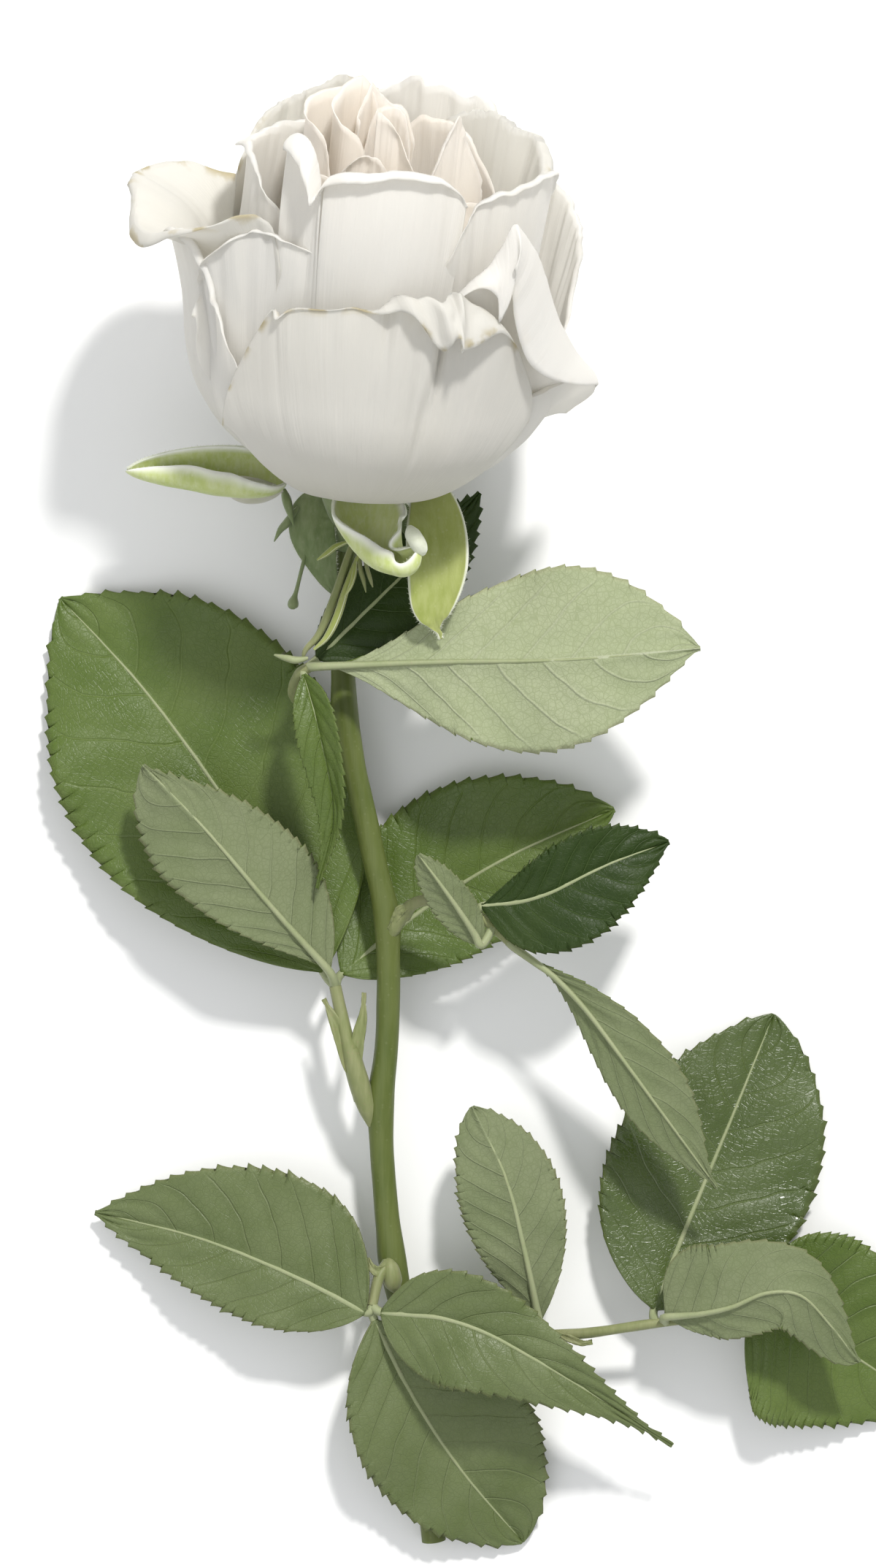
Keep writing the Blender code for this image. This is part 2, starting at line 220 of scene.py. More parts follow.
def newGroup(name, inputs, outputs):
    tree = bpy.data.node_groups.new(name, "ShaderNodeTree")
    for label, value in inputs.items():
        socket = tree.interface.new_socket(name=label, in_out="INPUT", socket_type="NodeSocketFloat")
        socket.default_value = value
    for label in outputs:
        tree.interface.new_socket(name=label, in_out="OUTPUT", socket_type="NodeSocketFloat")
    return tree, addNode(tree, "NodeGroupInput").outputs, addNode(tree, "NodeGroupOutput").inputs


def useGroup(tree, group, **values):
    return feedAll(tree, addNode(tree, "ShaderNodeGroup", node_tree=group), values)


def newFinish(name):
    finish = bpy.data.materials.new(name)
    finish.use_nodes = True
    tree = finish.node_tree
    return finish, tree, tree.nodes["Principled BSDF"], tree.nodes["Material Output"]


def bumpOf(tree, height, strength, distance):
    node = addNode(tree, "ShaderNodeBump")
    return feedAll(tree, node, {"Height": height, "Strength": strength, "Distance": distance})["Normal"]


def letLightThrough(tree, shader, output, colour, share):
    glow = feedAll(tree, addNode(tree, "ShaderNodeBsdfTranslucent"), {"Color": colour})[0]
    mix = feedAll(tree, addNode(tree, "ShaderNodeMixShader"), {0: share, 1: shader.outputs[0], 2: glow})[0]
    feed(tree, output.inputs["Surface"], mix)


leafVeins = {"Pairs": 8.0, "Slant": 1.8, "Width": 0.05}


def makeVeinGroup():
    # Midrib and Ribs are drawn on the blade's own map, and Net is the fine mesh between them
    tree, given, out = newGroup("leafVeins", leafVeins, ("Midrib", "Ribs", "Net"))
    place, upBlade, across = ownMap(tree)
    reach = calc(tree, "ABSOLUTE", across)
    sideOffset = times(tree, calc(tree, "GREATER_THAN", across, 0.0), 0.45)
    shift = times(tree, calc(tree, "POWER", reach, 1.2), given["Slant"])
    stray = times(tree, noiseOf(tree, place, 130.0, 1.0), 0.3)
    phase = calc(tree, "SUBTRACT", times(tree, upBlade, given["Pairs"]), shift)
    phase = calc(tree, "ADD", calc(tree, "ADD", phase, sideOffset), stray)
    gap = calc(tree, "ABSOLUTE", calc(tree, "SUBTRACT", calc(tree, "FRACT", phase), 0.5))
    rib = remap(tree, calc(tree, "SUBTRACT", 0.5, gap), 0.0, given["Width"], 1.0, 0.0)
    coarseNet = remap(tree, cellsOf(tree, place, 640.0), 0.0, 0.08, 0.8, 0.0)
    fineNet = remap(tree, cellsOf(tree, place, 1300.0), 0.0, 0.12, 0.55, 0.0)
    feed(tree, out["Midrib"], remap(tree, reach, 0.006, 0.03, 1.0, 0.0))
    feed(tree, out["Ribs"], times(tree, rib, remap(tree, reach, 0.78, 1.0, 1.0, 0.0)))
    feed(tree, out["Net"], calc(tree, "MAXIMUM", coarseNet, fineNet))
    return tree


def makeMottleGroup():
    tree, given, out = newGroup("mottle", {"Scale": 60.0}, ("Patches",))
    place = addNode(tree, "ShaderNodeTexCoord").outputs["Object"]
    feed(tree, out["Patches"], remap(tree, noiseOf(tree, place, given["Scale"], 4.0, 0.5), 0.3, 0.7))
    return tree


def makeFibreGroup():
    # fine lines that run from base to margin on a piece's own map
    tree, given, out = newGroup("fibres", {"Count": 90.0}, ("Lines",))
    ownPlace = addNode(tree, "ShaderNodeTexCoord").outputs["UV"]
    scale = feedAll(tree, addNode(tree, "ShaderNodeCombineXYZ"), {0: 3.0, 1: given["Count"]})[0]
    spread = addNode(tree, "ShaderNodeVectorMath", operation="MULTIPLY")
    lines = noiseOf(tree, feedAll(tree, spread, {0: ownPlace, 1: scale})[0], 1.0, 3.0, 0.6)
    feed(tree, out["Lines"], lines)
    return tree


def makeMarginGroup():
    tree, given, out = newGroup("margin", {"Reach": 0.1}, ("Tip", "Sides", "Base"))
    place, upBlade, across = ownMap(tree)
    start = calc(tree, "SUBTRACT", 1.0, given["Reach"])
    feed(tree, out["Tip"], remap(tree, upBlade, start, 1.0))
    feed(tree, out["Sides"], remap(tree, calc(tree, "ABSOLUTE", across), start, 1.0))
    feed(tree, out["Base"], remap(tree, upBlade, 0.15, 0.75, 1.0, 0.0))
    return tree


veinGroup = makeVeinGroup()
mottleGroup = makeMottleGroup()
fibreGroup = makeFibreGroup()
marginGroup = makeMarginGroup()

petalSkin = {
    "cloudScale": 45.0, "clouding": 0.25, "lining": 0.07, "margin": 0.035, "spotScale": 210.0, "thin": 0.42,
    "rough": (0.5, 0.68), "gloss": 0.3, "sheen": 0.12, "sheenRough": 0.5, "bump": (0.35, 0.0004)}
petalLooks = {
    "petalOutside": dict(
        colour=(0.825, 0.818, 0.79), deep=(0.8, 0.785, 0.7), tint=0.6, cloud=(0.765, 0.748, 0.71),
        fibres=90, line=(0.78, 0.745, 0.7), wear=0.15, browned=(0.62, 0.52, 0.34), glow=(0.94, 0.92, 0.87)),
    "petalInside": dict(
        colour=(0.855, 0.85, 0.83), deep=(0.85, 0.81, 0.72), tint=0.6, cloud=(0.84, 0.81, 0.775), fibres=80,
        line=(0.8, 0.755, 0.7), wear=0.1, browned=(0.62, 0.52, 0.34), glow=(0.94, 0.915, 0.86)),
    "petalWorn": dict(
        colour=(0.745, 0.735, 0.7), deep=(0.75, 0.73, 0.63), tint=0.55, cloud=(0.69, 0.67, 0.625),
        fibres=90, line=(0.75, 0.715, 0.66), wear=0.9, browned=(0.46, 0.38, 0.19), glow=(0.91, 0.89, 0.83)),
    "petalHeart": dict(
        colour=(0.9, 0.88, 0.84), deep=(0.91, 0.82, 0.7), tint=0.65, cloud=(0.9, 0.85, 0.79), fibres=60,
        line=(0.84, 0.78, 0.7), wear=0.1, browned=(0.6, 0.48, 0.3), glow=(0.96, 0.9, 0.82)),
}


def makePetalFinish(name, look):
    finish, tree, shader, output = newFinish(name)
    fibres = useGroup(tree, fibreGroup, Count=look["fibres"])[0]
    clouds = useGroup(tree, mottleGroup, Scale=petalSkin["cloudScale"])[0]
    spots = useGroup(tree, mottleGroup, Scale=petalSkin["spotScale"])[0]
    edge = useGroup(tree, marginGroup, Reach=petalSkin["margin"])
    worn = times(tree, edge["Tip"], remap(tree, spots, 0.45, 0.9))
    colour = layColour(tree, look["colour"], edge["Base"], look["tint"], look["deep"])
    colour = layColour(tree, colour, clouds, petalSkin["clouding"], look["cloud"])
    colour = layColour(tree, colour, remap(tree, fibres, 0.35, 0.65), petalSkin["lining"], look["line"])
    colour = layColour(tree, colour, worn, look["wear"], look["browned"])
    feedAll(tree, shader, {
        "Base Color": colour, "Roughness": remap(tree, fibres, 0.2, 0.8, *petalSkin["rough"]),
        "Normal": bumpOf(tree, fibres, *petalSkin["bump"]), "Specular IOR Level": petalSkin["gloss"],
        "Sheen Weight": petalSkin["sheen"], "Sheen Roughness": petalSkin["sheenRough"]})
    letLightThrough(tree, shader, output, look["glow"], petalSkin["thin"])
    return finish


leafSkin = {
    "cloudScale": 55.0, "dustScale": 300.0, "dusting": 0.08, "margin": 0.06, "netRelief": 0.25,
    "bump": (0.6, 0.0003)}
topUsual = dict(net=0.3, ribs=0.28, mid=0.5, edge=0.3, gloss=0.42, relief=-1.0, thin=0.12, veinWidth=0.04)
underUsual = dict(edge=0.35, rough=(0.62, 0.78), relief=1.0, thin=0.14)
leafLooks = {
    "leafTop": dict(
        topUsual, colour=(0.078, 0.128, 0.014), second=(0.112, 0.162, 0.032),
        netColour=(0.054, 0.094, 0.01), ribs=0.25, ribColour=(0.19, 0.25, 0.08), dust=(0.16, 0.2, 0.09),
        edgeColour=(0.14, 0.17, 0.05), rough=(0.36, 0.5), glow=(0.18, 0.28, 0.03)),
    "leafTopGrey": dict(
        topUsual, colour=(0.105, 0.14, 0.042), second=(0.142, 0.178, 0.068),
        netColour=(0.078, 0.108, 0.028), ribColour=(0.22, 0.26, 0.12), dust=(0.22, 0.25, 0.15),
        edgeColour=(0.19, 0.19, 0.08), rough=(0.4, 0.54), glow=(0.2, 0.28, 0.05)),
    "leafTopDeep": dict(
        topUsual, colour=(0.056, 0.088, 0.014), second=(0.08, 0.116, 0.026), net=0.35,
        netColour=(0.04, 0.066, 0.008), ribColour=(0.16, 0.21, 0.07), dust=(0.14, 0.17, 0.09),
        edgeColour=(0.12, 0.14, 0.04), rough=(0.26, 0.38), gloss=0.55, glow=(0.14, 0.22, 0.02)),
    "leafTopDark": dict(
        topUsual, colour=(0.017, 0.038, 0.003), second=(0.028, 0.052, 0.007), net=0.4,
        netColour=(0.04, 0.066, 0.014), ribs=0.4, ribColour=(0.09, 0.14, 0.04), mid=0.6,
        dust=(0.04, 0.06, 0.02), edgeColour=(0.08, 0.1, 0.03), rough=(0.42, 0.56), gloss=0.24,
        glow=(0.07, 0.13, 0.01), thin=0.1, veinWidth=0.045),
    "leafUnder": dict(
        underUsual, colour=(0.176, 0.212, 0.102), second=(0.216, 0.248, 0.134), net=0.45,
        netColour=(0.136, 0.168, 0.07), ribs=0.45, ribColour=(0.28, 0.32, 0.18), mid=0.8,
        dust=(0.27, 0.3, 0.19), edgeColour=(0.18, 0.16, 0.07), gloss=0.22, glow=(0.22, 0.31, 0.06),
        veinWidth=0.05),
    "leafUnderPale": dict(
        underUsual, colour=(0.345, 0.39, 0.225), second=(0.405, 0.445, 0.275), net=0.65,
        netColour=(0.25, 0.29, 0.145), ribs=0.35, ribColour=(0.48, 0.51, 0.35), mid=0.9,
        dust=(0.46, 0.48, 0.36), edgeColour=(0.32, 0.3, 0.17), gloss=0.25, glow=(0.34, 0.42, 0.14),
        veinWidth=0.06),
}


def makeLeafFinish(name, look):
    finish, tree, shader, output = newFinish(name)
    veins = useGroup(tree, veinGroup, Width=look["veinWidth"])
    clouds = useGroup(tree, mottleGroup, Scale=leafSkin["cloudScale"])[0]
    dust = useGroup(tree, mottleGroup, Scale=leafSkin["dustScale"])[0]
    edge = useGroup(tree, marginGroup, Reach=leafSkin["margin"])
    colour = blendColours(tree, clouds, look["colour"], look["second"])
    colour = layColour(tree, colour, veins["Net"], look["net"], look["netColour"])
    colour = layColour(tree, colour, veins["Ribs"], look["ribs"], look["ribColour"])
    colour = layColour(tree, colour, veins["Midrib"], look["mid"], look["ribColour"])
    colour = layColour(tree, colour, dust, leafSkin["dusting"], look["dust"])
    colour = layColour(tree, colour, edge["Sides"], look["edge"], look["edgeColour"])
    netRelief = times(tree, veins["Net"], look["relief"] * leafSkin["netRelief"])
    relief = calc(tree, "ADD", times(tree, veins["Ribs"], look["relief"]), netRelief)
    feedAll(tree, shader, {
        "Base Color": colour, "Roughness": remap(tree, clouds, 0.0, 1.0, *look["rough"]),
        "Normal": bumpOf(tree, relief, *leafSkin["bump"]), "Specular IOR Level": look["gloss"]})
    letLightThrough(tree, shader, output, look["glow"], look["thin"])
    return finish


greenSkin = {
    "streakScale": 900.0, "streaking": 0.45, "speckScale": 700.0, "specking": 0.25, "gloss": 0.4,
    "bump": (0.4, 0.0003)}
greenLooks = {
    "stemGreen": dict(
        colour=(0.074, 0.102, 0.015), second=(0.098, 0.124, 0.024), streak=(0.124, 0.15, 0.04),
        speck=(0.17, 0.19, 0.08), stretch=0.06, patch=70, rough=(0.4, 0.58), fuzz=0),
    "stalkGreen": dict(
        colour=(0.17, 0.2, 0.068), second=(0.215, 0.228, 0.104), streak=(0.28, 0.29, 0.14),
        speck=(0.27, 0.21, 0.12), stretch=0.15, patch=110, rough=(0.45, 0.62), fuzz=0.1),
    "ribPale": dict(
        colour=(0.255, 0.295, 0.145), second=(0.29, 0.325, 0.175), streak=(0.33, 0.35, 0.2),
        speck=(0.31, 0.27, 0.18), stretch=0.4, patch=150, rough=(0.5, 0.65), fuzz=0.05),
    "sepalGreen": dict(
        colour=(0.245, 0.29, 0.06), second=(0.315, 0.355, 0.105), streak=(0.37, 0.4, 0.16),
        speck=(0.42, 0.44, 0.24), stretch=0.3, patch=90, rough=(0.55, 0.7), fuzz=0.25,
        rim=(0.62, 0.64, 0.5), rimFrom=0.07),
    "sepalPale": dict(
        colour=(0.4, 0.475, 0.13), second=(0.52, 0.575, 0.245), streak=(0.6, 0.64, 0.4),
        speck=(0.62, 0.66, 0.42), stretch=0.3, patch=120, rough=(0.6, 0.75), fuzz=0.3,
        rim=(0.8, 0.81, 0.74), rimFrom=0.24),
    "sepalDark": dict(
        colour=(0.12, 0.17, 0.06), second=(0.17, 0.215, 0.09), streak=(0.24, 0.28, 0.15),
        speck=(0.26, 0.28, 0.18), stretch=0.3, patch=90, rough=(0.6, 0.75), fuzz=0.2),
    "sepalWool": dict(
        colour=(0.56, 0.59, 0.44), second=(0.64, 0.66, 0.54), streak=(0.7, 0.72, 0.6),
        speck=(0.74, 0.74, 0.66), stretch=1, patch=160, rough=(0.75, 0.9), fuzz=0.5),
    "pith": dict(
        colour=(0.48, 0.5, 0.33), second=(0.56, 0.56, 0.4), streak=(0.36, 0.4, 0.2),
        speck=(0.6, 0.58, 0.44), stretch=1, patch=300, rough=(0.7, 0.85), fuzz=0),
}


def makeGreenFinish(name, look):
    # stems, stalks, hip and sepals: lengthwise streaks, small pale dots and sometimes a pale rim
    finish, tree, shader, output = newFinish(name)
    place = addNode(tree, "ShaderNodeTexCoord").outputs["Object"]
    drawn = addNode(tree, "ShaderNodeMapping")
    drawn = feedAll(tree, drawn, {"Vector": place, "Scale": (1.0, look["stretch"], 1.0)})["Vector"]
    streaks = noiseOf(tree, drawn, greenSkin["streakScale"], 3.0, 0.6)
    clouds = useGroup(tree, mottleGroup, Scale=look["patch"])[0]
    speck = remap(tree, cellsOf(tree, place, greenSkin["speckScale"], "F1"), 0.10, 0.22, 1.0, 0.0)
    colour = blendColours(tree, clouds, look["colour"], look["second"])
    drawnOut = remap(tree, streaks, 0.35, 0.7)
    colour = layColour(tree, colour, drawnOut, greenSkin["streaking"], look["streak"])
    colour = layColour(tree, colour, speck, greenSkin["specking"], look["speck"])
    if "rim" in look:
        edge = useGroup(tree, marginGroup, Reach=look["rimFrom"])
        colour = blendColours(tree, edge["Sides"], colour, look["rim"])
    feedAll(tree, shader, {
        "Base Color": colour, "Roughness": remap(tree, streaks, 0.2, 0.8, *look["rough"]),
        "Normal": bumpOf(tree, streaks, *greenSkin["bump"]), "Specular IOR Level": greenSkin["gloss"],
        "Sheen Weight": look["fuzz"]})
    return finish


finishes = {name: makePetalFinish(name, look) for name, look in petalLooks.items()}
finishes.update({name: makeLeafFinish(name, look) for name, look in leafLooks.items()})
finishes.update({name: makeGreenFinish(name, look) for name, look in greenLooks.items()})
print("finishes ready:", len(finishes))


def inBloom(azimuth, radius, height):
    # azimuth 0 looks up from the surface, +90 is the right side, height runs along the bloom's axis
    turn = math.radians(azimuth)
    pressed = radius * (1.0 - 0.05 * (1.0 - math.cos(turn)) * 0.5)
    outward = bloomFront * math.cos(turn) + bloomRight * math.sin(turn)
    return bloomBase + bloomAxis * height + outward * pressed


petalCup = {
    "bellyHeight": 25.0, "baseRadius": 6.5, "baseStep": 0.75, "wall": 0.2, "rows": 60, "columns": 72}
# heights of the waves in a petal: along its margin, and out from its face from broad to fine
petalWaves = {
    "margin": (0.7, 0.35), "lumps": (1.1, 0.7, 0.35), "frill": (0.8, 0.4), "ripple": (0.10, 0.05),
    "crease": (0.8, 0.5)}


def petalSurface(petal):
    # edge: (azimuth, flare, height) round the free margin. lip: how far it rolls over (out, up, turn).
    # pushes: (s, t, reach in s, reach in t, out, up, turn) where the petal is dented, folded or raised.
    rank = petal["rank"]
    belly = petal["belly"]
    edge = petal["edge"]
    ruffle = petal.get("ruffle", 1.0)
    crumple, crumpleAt, crumpleReach = petal.get("crumple", (0.0, 0.0, 1.0))
    ragged, raggedAt, raggedReach = petal.get("ragged", (0.0, 0.0, 1.0))
    narrow, opening = petal.get("spread", (0.6, 0.7))
    flareCurve = petal.get("flareCurve", 3.0)
    baseRadius = min(petalCup["baseRadius"], belly * 0.6)
    baseHeight = rank * petalCup["baseStep"]
    middle = (edge[0][0] + edge[-1][0]) * 0.5
    seed = rank * 3.7 + 1.3
    long, short = petalWaves["margin"]
    broad, lesser, fine = petalWaves["lumps"]
    frillBroad, frillFine = petalWaves["frill"]
    rippleBroad, rippleFine = petalWaves["ripple"]
    creaseUp, creaseFine = petalWaves["crease"]
    trends = {}

    def cup(height):
        part = clamp((height - baseHeight) / petalCup["bellyHeight"])
        return baseRadius + (belly - baseRadius) * math.sqrt(1.0 - (1.0 - part) ** 2)

    def trendAt(t):
        # the margin's height without its notches, for the rows well below the margin
        if t not in trends:
            nearby = [through(edge, clamp(t * 0.5 + 0.5 + step))[2] for step in (-0.2, -0.1, 0.0, 0.1, 0.2)]
            trends[t] = sum(nearby) / len(nearby)
        return trends[t]

    def surface(s, t):
        azimuth, flare, edgeHeight = through(edge, t * 0.5 + 0.5)
        out, up, turn = through(petal["lip"], t * 0.5 + 0.5)
        trend = trendAt(t)
        edgeHeight += ruffle * (long * wobble(t * 2.6, seed, 0.0) + short * wobble(t * 11.0, seed, 4.0))
        torn = ragged * hill(t - raggedAt, raggedReach)
        edgeHeight += torn * (wobble(t * 34.0, seed, 2.0) + 0.6 * wobble(t * 80.0, seed, 3.0))
        reach = math.sqrt(out * out + up * up + (turn * 0.6) ** 2)
        upright = 1.0 - min(reach / 60.0, 0.30)
        rise = min(s / upright, 1.0)
        roll = max(s - upright, 0.0) / max(1.0 - upright, 0.001)
        height = baseHeight + (trend - baseHeight) * rise ** 1.6 + (edgeHeight - trend) * rise ** 6
        radius = cup(height) + flare * rise ** flareCurve
        radius += out * roll * roll * (3.0 - 2.0 * roll)
        height += up * roll ** 2
        opened = narrow + (1.0 - narrow) * s ** opening
        azimuth = middle + (azimuth - middle) * opened + turn * roll ** 1.5
        lumps = broad * wobble(t * 2.2, seed, s * 0.8) * rise ** 3
        lumps += lesser * wobble(s * 3.0, t * 3.0, seed) * rise
        frill = frillBroad * wobble(t * 5.5, seed, s) * rise ** 5
        frill += frillFine * wobble(t * 13.0, seed, s * 2.0) * rise ** 9
        radius += ruffle * (lumps + frill + fine * wobble(s * 7.0, t * 6.0, seed) * rise)
        radius += rippleBroad * wobble(t * 16.0, s * 3.0, seed) * rise
        radius += rippleFine * wobble(t * 34.0, s * 5.0, seed) * rise
        crease = crumple * hill(t - crumpleAt, crumpleReach) * clamp((s - 0.55) / 0.45) ** 1.5
        if crease > 0.02:
            radius += crease * wobble(t * 13.0, s * 8.0, seed + 7.0)
            height += crease * creaseUp * wobble(t * 12.0, s * 9.0, seed + 11.0)
            radius += crease * creaseFine * wobble(t * 30.0, s * 20.0, seed + 5.0)
        for sAt, tAt, sReach, tReach, outPush, upPush, turnPush in petal.get("pushes", ()):
            weight = hill(s - sAt, sReach) * hill(t - tAt, tReach)
            radius += outPush * weight
            height += upPush * weight
            azimuth += turnPush * weight
        return inBloom(azimuth, radius, height)

    return surface


